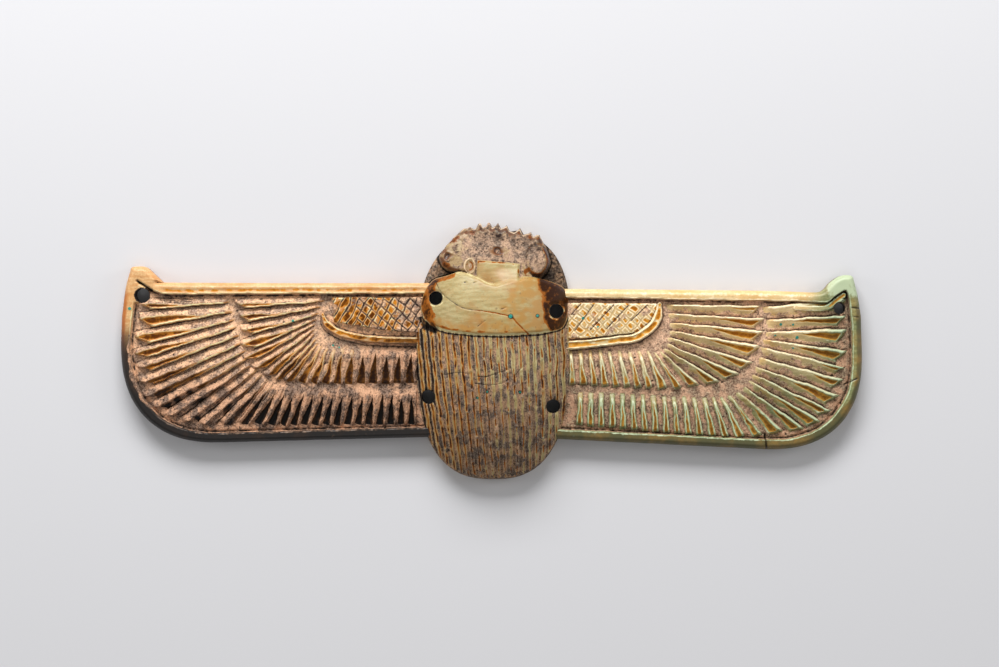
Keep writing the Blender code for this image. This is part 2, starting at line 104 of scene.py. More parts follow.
def catmull(points: Sequence[Pair], steps: int = 6) -> Array:
    """Return a smooth open curve through given points.

    Args:
        points: The places the curve passes through.
        steps: How many pieces each stretch is cut into.

    Returns:
        The curve's points, one row each.
    """
    nodes = np.array(points, float)
    ends = np.vstack([2.0 * nodes[0] - nodes[1], nodes, 2.0 * nodes[-1] - nodes[-2]])
    rows = []
    for before, start, end, after in zip(ends, ends[1:], ends[2:], ends[3:]):
        for t in np.arange(steps) / steps:
            rows.append(0.5 * (2.0 * start + (end - before) * t
                               + (2.0 * before - 5.0 * start + 4.0 * end - after) * t ** 2
                               + (3.0 * start - before - 3.0 * end + after) * t ** 3))
    rows.append(nodes[-1])
    return np.array(rows)


def inside_distance(x: Array, y: Array, outline: Array) -> Array:
    """Return each point's distance to a closed outline, positive inside it.

    Args:
        x: Places across.
        y: Places up.
        outline: The closed outline's points, one row each.

    Returns:
        The distances, in millimetres.
    """
    nearest = np.full(x.shape, np.inf)
    inside = np.zeros(x.shape, bool)
    for (ax, ay), (bx, by) in zip(outline, np.roll(outline, -1, axis=0)):
        run, climb = bx - ax, by - ay
        length = run * run + climb * climb
        if length == 0.0:
            continue
        share = np.clip(((x - ax) * run + (y - ay) * climb) / length, 0.0, 1.0)
        nearest = np.minimum(nearest, (x - ax - share * run) ** 2 + (y - ay - share * climb) ** 2)
        if climb != 0.0:
            inside ^= ((ay > y) != (by > y)) & (x < ax + (y - ay) * run / climb)
    return np.where(inside, 1.0, -1.0) * np.sqrt(nearest)


def path_distance(x: Array, y: Array, path: Array) -> tuple[Array, Array]:
    """Return each point's distance to an open path, and its share of the way along it.

    Args:
        x: Places across.
        y: Places up.
        path: The path's points, one row each.

    Returns:
        The distances, positive to the left of the path, and the shares.
    """
    nearest = np.full(x.shape, np.inf)
    along, side = np.zeros(x.shape), np.ones(x.shape)
    lengths = np.hypot(*np.diff(path, axis=0).T)
    starts = np.concatenate([[0.0], np.cumsum(lengths)])
    for (ax, ay), (bx, by), length, start in zip(path, path[1:], lengths, starts):
        run, climb = bx - ax, by - ay
        share = np.clip(((x - ax) * run + (y - ay) * climb) / length ** 2, 0.0, 1.0)
        gap = np.hypot(x - ax - share * run, y - ay - share * climb)
        closer = gap < nearest
        nearest = np.where(closer, gap, nearest)
        along = np.where(closer, (start + share * length) / starts[-1], along)
        side = np.where(closer, np.where(run * (y - ay) > climb * (x - ax), 1.0, -1.0), side)
    return nearest * side, along


class Grain:
    """Smooth seeded noise over the plan, between about -1 and 1."""

    SIZE = 256
    SPREAD = 1.5

    def __init__(self, seed: int) -> None:
        """Draw the table of slopes that the noise is made from."""
        turns = np.random.default_rng(seed).random((self.SIZE, self.SIZE)) * 2.0 * math.pi
        self.slopes = np.cos(turns), np.sin(turns)

    def at(self, x: Array, y: Array, size: float) -> Array:
        """Return the noise at places in plan, for grains of a given size in millimetres.

        Args:
            x: Places across.
            y: Places up.
            size: The grains' size in millimetres.

        Returns:
            The noise, one value a place.
        """
        u, v = x / size, y / size
        column, row = np.floor(u).astype(int), np.floor(v).astype(int)
        du, dv = u - column, v - row
        fade_u, fade_v = (t * t * t * (t * (t * 6.0 - 15.0) + 10.0) for t in (du, dv))
        total = np.zeros_like(u)
        for i, weight_u in ((0, 1.0 - fade_u), (1, fade_u)):
            for j, weight_v in ((0, 1.0 - fade_v), (1, fade_v)):
                pick = (column + i) % self.SIZE, (row + j) % self.SIZE
                dot = self.slopes[0][pick] * (du - i) + self.slopes[1][pick] * (dv - j)
                total += dot * weight_u * weight_v
        return total * self.SPREAD

    def bend(self, value: Array, other: Array, coarse: Pair, fine: Pair) -> Array:
        """Return places shifted along one axis by two waves, each an amount and a grain size."""
        return (value + coarse[0] * self.at(value, other, coarse[1])
                + fine[0] * self.at(other, value, fine[1]))


class Relief:
    """Heights above the back, in millimetres, and the masks of the finish, for a set of points."""

    # The darkening mask is painted shade in grooves, cuts, cracks and holes.
    MASKS = ("pool", "crust", "edge", "groove", "speck", "stain", "zone")

    def __init__(self, height: Array) -> None:
        """Start from plain heights with nothing on them."""
        self.height = height.astype(float)
        self.masks = {name: np.zeros_like(self.height) for name in self.MASKS}

    def lay(self, cover: Array, height: Array | None = None, **masks: Level) -> None:
        """Lay a feature over what is there, as far as its cover, 0 to 1, says."""
        if height is not None:
            self.height += (height - self.height) * cover
        for name in self.MASKS:
            if name != "zone":
                self.masks[name] += (masks.get(name, 0.0) - self.masks[name]) * cover

    def mark(self, name: str, amount: Array) -> None:
        """Raise one mask to an amount where it is lower."""
        self.masks[name] = np.maximum(self.masks[name], amount)

    def clear(self, name: str, share: Array) -> None:
        """Take a share of one mask away."""
        self.masks[name] *= 1.0 - share

    def cut(self, depth: Array, groove: Level = 0.0) -> None:
        """Cut into the surface, and paint shade into the cut."""
        self.height -= depth
        self.mark("groove", groove * np.ones_like(self.height))


@dataclass(frozen=True)
class Palette:
    """The colours of one stretch of worn glaze, each at its near and its far end, as 0 to 255."""

    glaze: tuple[Colour, Colour]
    streak: tuple[Colour, Colour]
    stain: tuple[Colour, Colour]
    edge: tuple[Colour, Colour]
    pool_thin: tuple[Colour, Colour]
    pool_deep: tuple[Colour, Colour]
    crust: tuple[Colour, Colour]
    crust_grey: tuple[Colour, Colour]
    crust_dark: tuple[Colour, Colour]
    # The darkest colour: painted shade in grooves, cuts and holes, and also the dark flecks in the crust.
    groove: tuple[Colour, Colour]
    speck: Colour = (44, 138, 124)


def linear(colour: Colour) -> tuple[float, float, float, float]:
    """Return a screen colour of 0 to 255 as the shader's linear colour."""
    shares = [channel / 255.0 for channel in colour]
    return (*(c / 12.92 if c <= 0.04045 else ((c + 0.055) / 1.055) ** 2.4 for c in shares), 1.0)


class NodeBench:
    """A short way to set out and join a material's nodes."""

    def __init__(self, name: str) -> None:
        """Start a material with its shader and its object coordinates.

        Args:
            name: The material's name.
        """
        self.material = bpy.data.materials.new(name)
        self.material.use_nodes = True
        self.tree = self.material.node_tree
        self.shader = self.tree.nodes["Principled BSDF"]
        self.place = self.tree.nodes.new("ShaderNodeTexCoord").outputs["Object"]

    def add(self, kind: str, inputs: dict, **settings) -> bpy.types.Node:
        """Add a node; an input is given a value or another node's output.

        Args:
            kind: The node's type, in Blender's word.
            inputs: A value or another node's output for each input named.
            settings: The node's own settings.

        Returns:
            The node.
        """
        node = self.tree.nodes.new(kind)
        for key, value in settings.items():
            setattr(node, key, value)
        for key, value in inputs.items():
            if isinstance(value, Socket):
                self.tree.links.new(value, node.inputs[key])
            else:
                node.inputs[key].default_value = value
        return node

    def mask(self, name: str) -> Socket:
        """Return a mask that the carving has left on the mesh."""
        return self.add("ShaderNodeAttribute", {}, attribute_name=name).outputs["Fac"]

    def noise(self, size: float, detail: float = 3.0, stretch: Spot = (1, 1, 1),
              roughness: float = 0.6) -> Socket:
        """Return noise whose grains are about a given size in millimetres."""
        place = self.add("ShaderNodeMapping", {"Vector": self.place, "Scale": stretch}).outputs["Vector"]
        return self.add("ShaderNodeTexNoise", {"Vector": place, "Scale": 1.0 / (size * MM), "Detail": detail,
                                               "Roughness": roughness}).outputs["Fac"]

    def step(self, value: Socket, low: float, high: float, start: float = 0.0,
             end: float = 1.0) -> Socket:
        """Return a value spread smoothly between two levels."""
        return self.add("ShaderNodeMapRange", {"Value": value, "From Min": low, "From Max": high,
                                               "To Min": start, "To Max": end},
                        interpolation_type="SMOOTHSTEP").outputs["Result"]

    def maths(self, kind: str, first: Level | Socket, second: Level | Socket,
              third: Level | Socket = 0.0) -> Socket:
        """Return a sum of two or three values; kind is Blender's name of it."""
        return self.add("ShaderNodeMath", {0: first, 1: second, 2: third}, operation=kind).outputs[0]

    def ragged(self, mask: Socket, noise: Socket, amount: float, low: float,
               high: float) -> Socket:
        """Return a mask with its border broken up by noise."""
        shifted = self.maths("MULTIPLY_ADD", noise, amount, mask)
        return self.step(shifted, low + 0.5 * amount, high + 0.5 * amount)

    def mix(self, share: Level | Socket, first: Socket | tuple, second: Socket | tuple) -> Socket:
        """Return a colour a share of the way between two."""
        return self.add("ShaderNodeMix", {0: share, 6: first, 7: second}, data_type="RGBA").outputs[2]

    def between(self, share: Level | Socket, first: Level | Socket, second: Level | Socket) -> Socket:
        """Return a number a share of the way between two."""
        return self.add("ShaderNodeMix", {0: share, 2: first, 3: second}).outputs[0]


@dataclass(frozen=True)
class WornGlaze:
    """Glaze over soft stone: pooled and dark in the cuts, thin and pale on the edges, and crusted."""

    name: str
    palette: Palette
    glaze_roughness: float = 0.42
    pool_roughness: float = 0.30
    crust_roughness: float = 0.95
    glaze_shine: float = 0.38
    pool_shine: float = 0.13
    crust_shine: float = 0.06
    grit_size: float = 0.34
    grit_depth: float = 0.045
    fleck_size: float = 0.60
    patch_size: float = 1.9
    cloud_size: float = 6.0
    streak_stretch: Spot = (0.30, 1.7, 1.0)

    def material(self) -> bpy.types.Material:
        """Build the material.

        Returns:
            A material that reads the masks the carving leaves on the mesh.
        """
        bench = NodeBench(self.name)
        zone = bench.mask("zone")
        grit = bench.noise(self.grit_size, 3.0, roughness=0.7)
        fleck = bench.noise(self.fleck_size, 3.0, roughness=0.65)
        patch = bench.noise(self.patch_size, 3.0)
        cloud = bench.noise(self.cloud_size, 3.0)
        streak = bench.noise(1.0, 3.0, stretch=self.streak_stretch)
        tones = {name: bench.mix(zone, linear(pair[0]), linear(pair[1]))
                 for name, pair in vars(self.palette).items() if name != "speck"}

        stain = bench.ragged(bench.mask("stain"), patch, 0.8, 0.12, 0.80)
        pool = bench.ragged(bench.mask("pool"), bench.between(0.5, fleck, patch), 1.1, 0.26, 0.44)
        depth = bench.ragged(bench.mask("pool"), bench.between(0.45, patch, fleck), 1.9, 0.45, 0.95)
        crust = bench.ragged(bench.mask("crust"), bench.between(0.45, fleck, patch), 1.2, 0.38, 0.60)
        # Pale edges: worn thin glaze, and in places a painted highlight (the rim's top, the right wing's
        # upper crests).
        worn = bench.ragged(bench.mask("edge"), bench.between(0.5, fleck, patch), 2.0, 0.22, 0.70)
        # Painted shade: grooves, cuts, cracks and holes darkened towards the darkest colour.
        dark = bench.ragged(bench.mask("groove"), fleck, 1.0, 0.18, 0.80)

        glaze = bench.mix(bench.step(streak, 0.36, 0.66), tones["glaze"], tones["streak"])
        glaze = bench.mix(stain, glaze, tones["stain"])
        glaze = bench.mix(bench.step(cloud, 0.46, 0.70, 0.0, 0.45), glaze, tones["pool_thin"])
        glaze = bench.mix(bench.step(fleck, 0.60, 0.72, 0.0, 0.55), glaze, tones["crust_dark"])
        glaze = bench.mix(bench.step(grit, 0.42, 0.60, 0.28, 0.0), glaze, tones["stain"])
        colour = bench.mix(worn, glaze, tones["edge"])
        glass = bench.mix(depth, tones["pool_thin"], tones["pool_deep"])
        colour = bench.mix(pool, colour, glass)

        dirt = bench.mix(bench.step(patch, 0.40, 0.62), tones["crust"], tones["crust_grey"])
        gritty = bench.maths("MULTIPLY", bench.step(grit, 0.40, 0.57, 0.85, 0.0),
                             bench.step(patch, 0.36, 0.60, 0.45, 1.0))
        dirt = bench.mix(gritty, dirt, tones["crust_dark"])
        dirt = bench.mix(bench.step(fleck, 0.57, 0.68, 0.0, 0.80), dirt, tones["groove"])
        dirt = bench.mix(bench.step(grit, 0.58, 0.68, 0.0, 0.45), dirt, tones["edge"])
        colour = bench.mix(crust, colour, dirt)
        # Lay the painted shade.
        colour = bench.mix(dark, colour, tones["groove"])
        colour = bench.mix(bench.step(bench.mask("speck"), 0.35, 0.55), colour, linear(self.palette.speck))
        bench.tree.links.new(colour, bench.shader.inputs["Base Color"])

        rough = bench.between(crust, bench.between(pool, self.glaze_roughness, self.pool_roughness),
                              self.crust_roughness)
        bench.tree.links.new(rough, bench.shader.inputs["Roughness"])
        shine = bench.between(crust, bench.between(pool, self.glaze_shine, self.pool_shine), self.crust_shine)
        bench.tree.links.new(shine, bench.shader.inputs["Specular IOR Level"])

        soft = bench.maths("MULTIPLY", streak, 0.35)
        rise = bench.between(crust, soft, bench.maths("MULTIPLY_ADD", fleck, 1.2, grit))
        bump = bench.add("ShaderNodeBump", {"Height": rise, "Strength": 1.0,
                                            "Distance": self.grit_depth * MM})
        bench.tree.links.new(bump.outputs["Normal"], bench.shader.inputs["Normal"])
        return bench.material


def deselect() -> None:
    """Leave nothing selected, so that an operator acts on the new piece alone."""
    bpy.ops.object.select_all(action="DESELECT")


def only(item: bpy.types.Object) -> None:
    """Select one object and make it the active one.

    Args:
        item: The piece.
    """
    deselect()
    item.select_set(True)
    bpy.context.view_layer.objects.active = item


@dataclass
class Carving:
    """A slab with a finely carved face. A kind of carving gives its outline, holes and relief.

    Sizes are in millimetres. The samples are the places, as shares of a grid square, that each
    point's height and masks are averaged over.
    """

    name: str
    finish: WornGlaze
    grid: float = 0.15
    blank_top: float = 16.0
    back_bevel: float = 0.35
    wall_steps: tuple[float, ...] = (0.35, 0.9, 1.6)
    wobble: float = 0.05
    hole_sides: int = 40
    samples: tuple[Pair, ...] = ((0.0, 0.0), (0.36, 0.14), (-0.14, 0.36), (-0.36, -0.14), (0.14, -0.36))
    smooth_angle: float = 62.0
    wall_masks: dict[str, float] = field(default_factory=lambda: {"crust": 0.46, "stain": 0.45})
    face_slack: float = 0.5
    bore_margin: float = 0.1
    smoothed_over: int = 3
    specks: tuple[Spot, ...] = ()

    def outline(self) -> Array:
        """Return the outline in plan, in millimetres."""
        raise NotImplementedError

    def holes(self) -> Iterable[Spot]:
        """Return each hole's place and radius in plan, in millimetres."""
        raise NotImplementedError

    def relief(self, x: Array, y: Array, steady: dict[str, Array]) -> Relief:
        """Return the relief at places in plan, in millimetres."""
        raise NotImplementedError

    def measure(self, x: Array, y: Array) -> dict[str, Array]:
        """Return the distances that the relief needs once for each point."""
        raise NotImplementedError

    def blank(self) -> bpy.types.Object:
        """Make the uncarved slab: a dense grid with walls and a closed back.

        Returns:
            The slab.
        """
        low, high = self.outline().min(0) - self.grid, self.outline().max(0) + self.grid
        size = high - low
        deselect()
        bpy.ops.mesh.primitive_grid_add(x_subdivisions=int(size[0] / self.grid), size=1.0,
                                        y_subdivisions=int(size[1] / self.grid))
        item = bpy.context.object
        item.name = self.name
        bpy.ops.object.mode_set(mode="EDIT")
        bpy.ops.transform.resize(value=(size[0] * MM, size[1] * MM, 1.0))
        bpy.ops.transform.translate(value=(*(0.5 * (low + high) * MM), self.blank_top * MM))
        bpy.ops.mesh.select_mode(type="EDGE")
        bpy.ops.mesh.select_all(action="DESELECT")
        bpy.ops.mesh.select_non_manifold()
        down = (0.0, 0.0, -2.0 * self.blank_top * MM)
        bpy.ops.mesh.extrude_edges_move(TRANSFORM_OT_translate={"value": down})
        bpy.ops.mesh.edge_face_add()
        bpy.ops.object.mode_set(mode="OBJECT")
        return item

    def prism(self) -> bpy.types.Object:
        """Make the block that trims the slab: the outline drawn up in rings from a narrower foot.

        Returns:
            The block.
        """
        outline = self.outline()
        deselect()
        bpy.ops.mesh.primitive_circle_add(vertices=len(outline), radius=1.0, fill_type="NGON")
        item = bpy.context.object
        away = (np.roll(outline, -self.smoothed_over, axis=0)
                - np.roll(outline, self.smoothed_over, axis=0))
        inward = np.column_stack([-away[:, 1], away[:, 0]]) / np.hypot(away[:, 0], away[:, 1])[:, None]
        inward *= np.sign(self.turn(outline))
        foot = outline + inward * self.back_bevel
        flat = np.column_stack([foot * MM, np.zeros(len(foot))])
        item.data.vertices.foreach_set("co", flat.ravel())
        item.data.update()
        bpy.ops.object.mode_set(mode="EDIT")
        bpy.ops.mesh.select_all(action="SELECT")
        levels = (0.0, *self.wall_steps, 2.0 * self.blank_top)
        for low, high in zip(levels, levels[1:]):
            lift = (0.0, 0.0, (high - low) * MM)
            bpy.ops.mesh.extrude_region_move(TRANSFORM_OT_translate={"value": lift})
        bpy.ops.object.mode_set(mode="OBJECT")
        self.widen(item, outline, foot)
        only(item)
        bpy.ops.object.mode_set(mode="EDIT")
        bpy.ops.mesh.select_all(action="SELECT")
        bpy.ops.mesh.normals_make_consistent(inside=False)
        bpy.ops.object.mode_set(mode="OBJECT")
        return item

    @staticmethod
    def turn(outline: Array) -> float:
        """Return twice the outline's area, positive when it runs anticlockwise."""
        after = np.roll(outline, -1, axis=0)
        return float(np.sum(outline[:, 0] * after[:, 1] - after[:, 0] * outline[:, 1]))

    @staticmethod
    def widen(item: bpy.types.Object, outline: Array, foot: Array) -> None:
        """Move every ring above the foot out to the full outline.

        Args:
            item: The piece.
            outline: The closed outline's points, one row each.
            foot: The narrower foot's points, one row each.
        """
        places = np.empty(len(item.data.vertices) * 3)
        item.data.vertices.foreach_get("co", places)
        places = places.reshape(-1, 3)
        raised = places[:, 2] > 0.1 * MM
        gaps = np.hypot(*(places[raised, None, :2] - foot[None] * MM).transpose(2, 0, 1))
        places[raised, :2] = outline[gaps.argmin(axis=1)] * MM
        item.data.vertices.foreach_set("co", places.ravel())
        item.data.update()

    def drill(self, item: bpy.types.Object, x: float, y: float, radius: float) -> None:
        """Drill one hole for sewing right through.

        Args:
            item: The piece.
            x: The hole's place across, in millimetres.
            y: The hole's place up, in millimetres.
            radius: The hole's radius, in millimetres.
        """
        deselect()
        bpy.ops.mesh.primitive_cylinder_add(vertices=self.hole_sides, radius=radius * MM,
                                            depth=6.0 * self.blank_top * MM, location=(x * MM, y * MM, 0.0))
        self.apply_boolean(item, bpy.context.object, "DIFFERENCE")

    @staticmethod
    def apply_boolean(item: bpy.types.Object, tool: bpy.types.Object, operation: str) -> None:
        """Apply a Boolean with one tool and remove the tool.

        Args:
            item: The piece.
            tool: The object that trims or cuts it.
            operation: The kind of Boolean, in Blender's word.
        """
        modifier = item.modifiers.new("shape", "BOOLEAN")
        modifier.operation = operation
        modifier.object = tool
        modifier.solver = "MANIFOLD"
        only(item)
        bpy.ops.object.modifier_apply(modifier=modifier.name)
        bpy.data.objects.remove(tool)

    def carve(self, item: bpy.types.Object) -> None:
        """Move the face to the relief and leave the masks on the mesh.

        Args:
            item: The piece.
        """
        places = np.empty(len(item.data.vertices) * 3)
        item.data.vertices.foreach_get("co", places)
        places = places.reshape(-1, 3)
        x, y = places[:, 0] / MM, places[:, 1] / MM
        face = places[:, 2] > (self.blank_top - self.face_slack) * MM
        steady = self.measure(x, y)
        heights, masks = np.zeros_like(x), {name: np.zeros_like(x) for name in Relief.MASKS}
        for shift_x, shift_y in self.samples:
            relief = self.relief(x + shift_x * self.grid, y + shift_y * self.grid, steady)
            heights += relief.height / len(self.samples)
            for name, values in relief.masks.items():
                masks[name] += values / len(self.samples)
        bores = [np.hypot(x - spot_x, y - spot_y) < radius + self.bore_margin
                 for spot_x, spot_y, radius in self.holes()]
        in_bore = np.any(bores, axis=0)
        places[face, 2] = heights[face] * MM
        item.data.vertices.foreach_set("co", places.ravel())
        for name, values in masks.items():
            if name != "zone":
                # Inside the bores the darkening is full: painted shade down the holes. The walls get crust
                # and stain.
                off_face = np.where(in_bore, 1.0 * (name == "groove"), self.wall_masks.get(name, 0.0))
                values = np.where(face & ~in_bore, values, off_face)
            layer = item.data.attributes.new(name, "FLOAT", "POINT")
            layer.data.foreach_set("value", np.clip(values, 0.0, 1.0))
        item.data.update()

    def set_specks(self, relief: Relief, x: Array, y: Array, rise: float) -> None:
        """Set the beads of bright glaze on the face.

        Args:
            relief: The carving's relief so far.
            x: Places outwards on a wing, or across on the beetle.
            y: Places up.
            rise: How far a bead stands up.
        """
        for spot_x, spot_y, radius in self.specks:
            bead = bell(np.hypot(x - spot_x, y - spot_y), 0.0, radius)
            relief.mark("speck", bead)
            relief.height += rise * bead

    def build(self) -> bpy.types.Object:
        """Make the carving, dress it, hang it on the body and hide the imported part it stands for.

        Returns:
            The finished piece.
        """
        item = self.blank()
        self.apply_boolean(item, self.prism(), "INTERSECT")
        for x, y, radius in self.holes():
            self.drill(item, x, y, radius)
        self.carve(item)
        only(item)
        bpy.ops.object.shade_smooth_by_angle(angle=math.radians(self.smooth_angle))
        item.data.materials.clear()
        item.data.materials.append(self.finish.material())
        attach(item, BODY)
        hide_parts(NODE)
        triangles = sum(len(face.vertices) - 2 for face in item.data.polygons)
        log.info("%s: %d triangles", self.name, triangles)
        return item


@dataclass(frozen=True)
class FeatherRow:
    """A row of feathers between numbered borders, each border keyed by its root and its tip.

    The fills are the shares of a standing feather's width that its bar takes. The pools are the
    shares of a full pool of glaze in the first feathers; the others have a full one.
    """

    borders: tuple[tuple[int, Pair, Pair], ...]
    rise: float
    slant: float
    fill_root: float
    fill_tip: float
    pool_width: float
    seed: int
    pools: tuple[float, ...] = ()
    core_trim: float = 0.20
    full_at: float = 0.97

    def lines(self) -> tuple[Array, Array]:
        """Return the roots and tips of all the borders, those between keys evenly spaced.

        Returns:
            The roots and the tips, one row a border.
        """
        numbers = np.array([key[0] for key in self.borders])
        every = np.arange(numbers[-1] + 1)
        ends = []
        for end in (1, 2):
            keyed = np.array([key[end] for key in self.borders])
            ends.append(np.column_stack([np.interp(every, numbers, keyed[:, axis]) for axis in (0, 1)]))
        return ends[0], ends[1]

    def pool_share(self, number: int) -> float:
        """Return how much of its full pool a feather has."""
        return self.pools[number] if number < len(self.pools) else 1.0


@dataclass(frozen=True)
class Feather:
    """One feather: where the points near it lie on it, and how it differs from its row.

    A point's place across is 0 at the upper border and 1 at the lower one. A feather that lies
    along the wing has a lying share of 1, and one that stands across it has 0.
    """

    near: Array
    across: Array
    along: Array
    width: Array
    far: Array
    mottle: Array
    length: float
    lying: float
    pool_share: float
    odds: Array


@dataclass(frozen=True)
class FeatherCut:
    """Places across a feather: the rise and the fall of its bar, and its pool of glaze."""

    rise_low: Array
    rise_high: Array
    fall_low: Array
    fall_high: Array
    pool_low: Array
    pool_high: Array
    side_start: Array


@dataclass(kw_only=True)
class Wing(Carving):
    """One spread wing. Places on it are (outwards, upwards from its leading edge)."""

    # Outline, rim and hole
    side: float
    lead: float
    tilt: float = 0.0
    reach: float = 72.5
    chord: float
    root: float = 11.0
    root_chord: float
    corner: Pair = (53.6, -11.7)
    corner_squareness: float = 2.4
    corner_steps: int = 40
    outline_step: float = 0.55
    tip: tuple[Pair, ...]
    field_tip: tuple[Pair, ...]
    hole: Spot
    tip_plateau: Spot
    plateau_rise: float = 1.2
    thickness: float = 4.0
    field_level: float = 2.7
    rim: float = 1.85
    edge_round: float = 1.1
    edge_fall: float = 0.95
    trough: float = 0.18
    trough_place: Pair = (0.66, 0.40)
    foot_groove: Pair = (0.34, 0.26)
    foot_groove_depth: float = 0.26

    # Feathers
    crest: Crest
    outer: FeatherRow
    inner: FeatherRow

    # Scales at the root, and the band under them
    scale_outline: tuple[Pair, ...]
    scale_rise: float = 1.0
    scale_lines: tuple[Spot, ...]
    score_depth: float = 0.30
    score_shade: float = 0.75
    patch_inset: Pair
    patch_cover: Pair = (-0.70, 0.05)
    band: tuple[Pair, ...]
    band_half_width: float = 0.85
    band_rise: float = 1.15
    band_skew: float = 0.0

    # Scratches, and the bar that runs up into the tip
    scratches: tuple[tuple[Pair, Pair, float, float], ...] = ()
    tip_bar: tuple[Pair, ...] = ()
    tip_bar_half_width: float = 0.50
    tip_bar_rise: float = 0.95
    speck_rise: float = 0.06

    # Finish
    zone_fall: Pair
    zone_rim: Pair
    zone_tip: Pair = (80.0, 90.0)
    crusted_far: float = 0.0
    rim_pool: float
    rim_stain_and_shade: Pair
    rim_top_highlight: float = 0.35
    tip_pale: float = 0.0
    dark_root: tuple[float, float, float, float, float] = (30.0, 34.0, -12.0, -15.0, 0.0)
    seed: int

    # Where a mask starts and is full: the first place has none of it, the second all
    rim_top: Pair = (-4.0, -1.5)
    rim_before_tip: Pair = (67.0, 62.0)
    tip_up: Pair = (-2.0, 1.0)
    tip_out: Pair = (64.0, 67.0)
    rim_side: Pair = (-0.5, -4.5)
    rim_low: Pair = (-20.0, -23.5)
    spill_up: Pair = (-27.0, -21.0)
    scales_root: Pair = (23.0, 15.0)
    scales_low: Pair = (-8.6, -6.0)

    def to_plan(self, points: Array) -> Array:
        """Turn places on the wing into places in plan."""
        up = self.lead + points[:, 1] + points[:, 0] * math.tan(math.radians(self.tilt))
        return np.column_stack([self.side * points[:, 0], up])

    def ring(self, tip: Array, inset: float) -> Array:
        """Return a closed line round the wing, a given way inside its lower and outer edges.

        Args:
            tip: The points of the line round the tip.
            inset: How far inside the edge it runs.

        Returns:
            The line's points, one row each.
        """
        corner_out, corner_up = self.corner
        power = 2.0 / self.corner_squareness
        angles = np.linspace(0.0, 0.5 * math.pi, self.corner_steps)
        out = corner_out + (self.reach - inset - corner_out) * np.cos(angles) ** power
        up = corner_up - (self.chord - inset + corner_up) * np.sin(angles) ** power
        root = np.array([(self.root, -self.root_chord + inset)])
        return np.vstack([tip, np.column_stack([out, up]), root])

    def outline(self) -> Array:
        """Return the wing's outline, worn a little uneven by hand.

        Returns:
            The outline's points in plan, one row each.
        """
        ring = self.ring(catmull(self.tip), 0.0)
        fine = self.resample(ring, self.outline_step)
        wave = Grain(self.seed).at(fine[:, 0] + 40.0, fine[:, 1], 4.0) * self.wobble
        middle = np.array([0.5 * self.reach, -0.5 * self.chord])
        reach = np.hypot(*(fine - middle).T)[:, None]
        inner = fine + (middle - fine) / reach * np.abs(wave)[:, None]
        inner[:, 0] = np.maximum(inner[:, 0], self.root)
        return self.to_plan(inner)

    @staticmethod
    def resample(ring: Array, step: float) -> Array:
        """Return a closed line's points at even steps.

        Args:
            ring: The closed line's points, one row each.
            step: The distance between two points.

        Returns:
            The new points, one row each.
        """
        closed = np.vstack([ring, ring[:1]])
        gaps = np.hypot(*np.diff(closed, axis=0).T)
        lengths = np.concatenate([[0.0], np.cumsum(gaps)])
        stops = np.linspace(0.0, lengths[-1], int(lengths[-1] / step), endpoint=False)
        return np.column_stack([np.interp(stops, lengths, closed[:, axis]) for axis in (0, 1)])

    def holes(self) -> Iterable[Spot]:
        """Return the hole at the wing's tip.

        Returns:
            The holes, each a place and a radius.
        """
        spot = self.to_plan(np.array([self.hole[:2]]))[0]
        beside = [hole for hole in SEWING_HOLES if hole[0] * self.side > 0.0]
        return [(spot[0], spot[1], self.hole[2])] + beside

    def local(self, x: Array, y: Array) -> tuple[Array, Array]:
        """Turn places in plan into places on the wing."""
        out = x * self.side
        return out, y - self.lead - out * math.tan(math.radians(self.tilt))

    def measure(self, x: Array, y: Array) -> dict[str, Array]:
        """Return the distances to the wing's edge, its sunk field, scales and band.

        Args:
            x: Places across.
            y: Places up.

        Returns:
            The distances by name.
        """
        out, up = self.local(x, y)
        grain = Grain(self.seed + 1)
        bent_out = grain.bend(out, up, (0.12, 5.0), (0.07, 1.6))
        bent_up = grain.bend(up, out, (0.10, 4.0), (0.06, 1.5))
        band_gap, band_along = path_distance(bent_out, bent_up, catmull(self.band))
        return {"edge": inside_distance(x, y, self.outline()),
                "field": inside_distance(bent_out, bent_up, self.ring(catmull(self.field_tip), self.rim)),
                "scales": inside_distance(bent_out, bent_up, np.array(self.scale_outline)),
                "band": band_gap, "band_along": band_along}

    def relief(self, x: Array, y: Array, steady: dict[str, Array]) -> Relief:
        """Return the wing's relief: rim, sunk field, feathers, scales and band.

        Args:
            x: Places across.
            y: Places up.
            steady: The distances that measure() gives.

        Returns:
            The relief at each place.
        """
        out, up = self.local(x, y)
        relief = Relief(np.full(out.shape, self.thickness))
        relief.masks["zone"] = self.zone(out, up, steady)
        self.carve_rim(relief, out, up, steady)
        self.carve_field(relief, out, up, steady)
        for row in (self.outer, self.inner):
            self.carve_feathers(relief, out, up, steady, row)
        self.carve_scales(relief, out, up, steady)
        self.carve_band(relief, out, up, steady)
        if self.tip_bar:
            self.carve_tip_bar(relief, out, up)
        self.weather(relief, out, up)
        return relief

    def zone(self, out: Array, up: Array, steady: dict[str, Array]) -> Array:
        """Return how far each place is towards the finish's far colours.

        Args:
            out: Places outwards.
            up: Places upwards.
            steady: The distances that measure() gives.

        Returns:
            The shares of the far colours, 0 to 1.
        """
        grain = Grain(self.seed + 6)
        drift = 2.6 * grain.at(out, up, 9.0) + 1.2 * grain.at(out, up, 3.0)
        fall = ramp(*self.zone_fall, up + drift)
        rim = ramp(0.2, -0.2, steady["field"]) * ramp(*self.zone_rim, up + 0.8 * drift)
        near, away, high, low, amount = self.dark_root
        root = amount * ramp(away, near, out + drift) * ramp(high, low, up + drift)
        return np.maximum(np.maximum(fall, rim), np.maximum(root, ramp(*self.zone_tip, out + drift)))

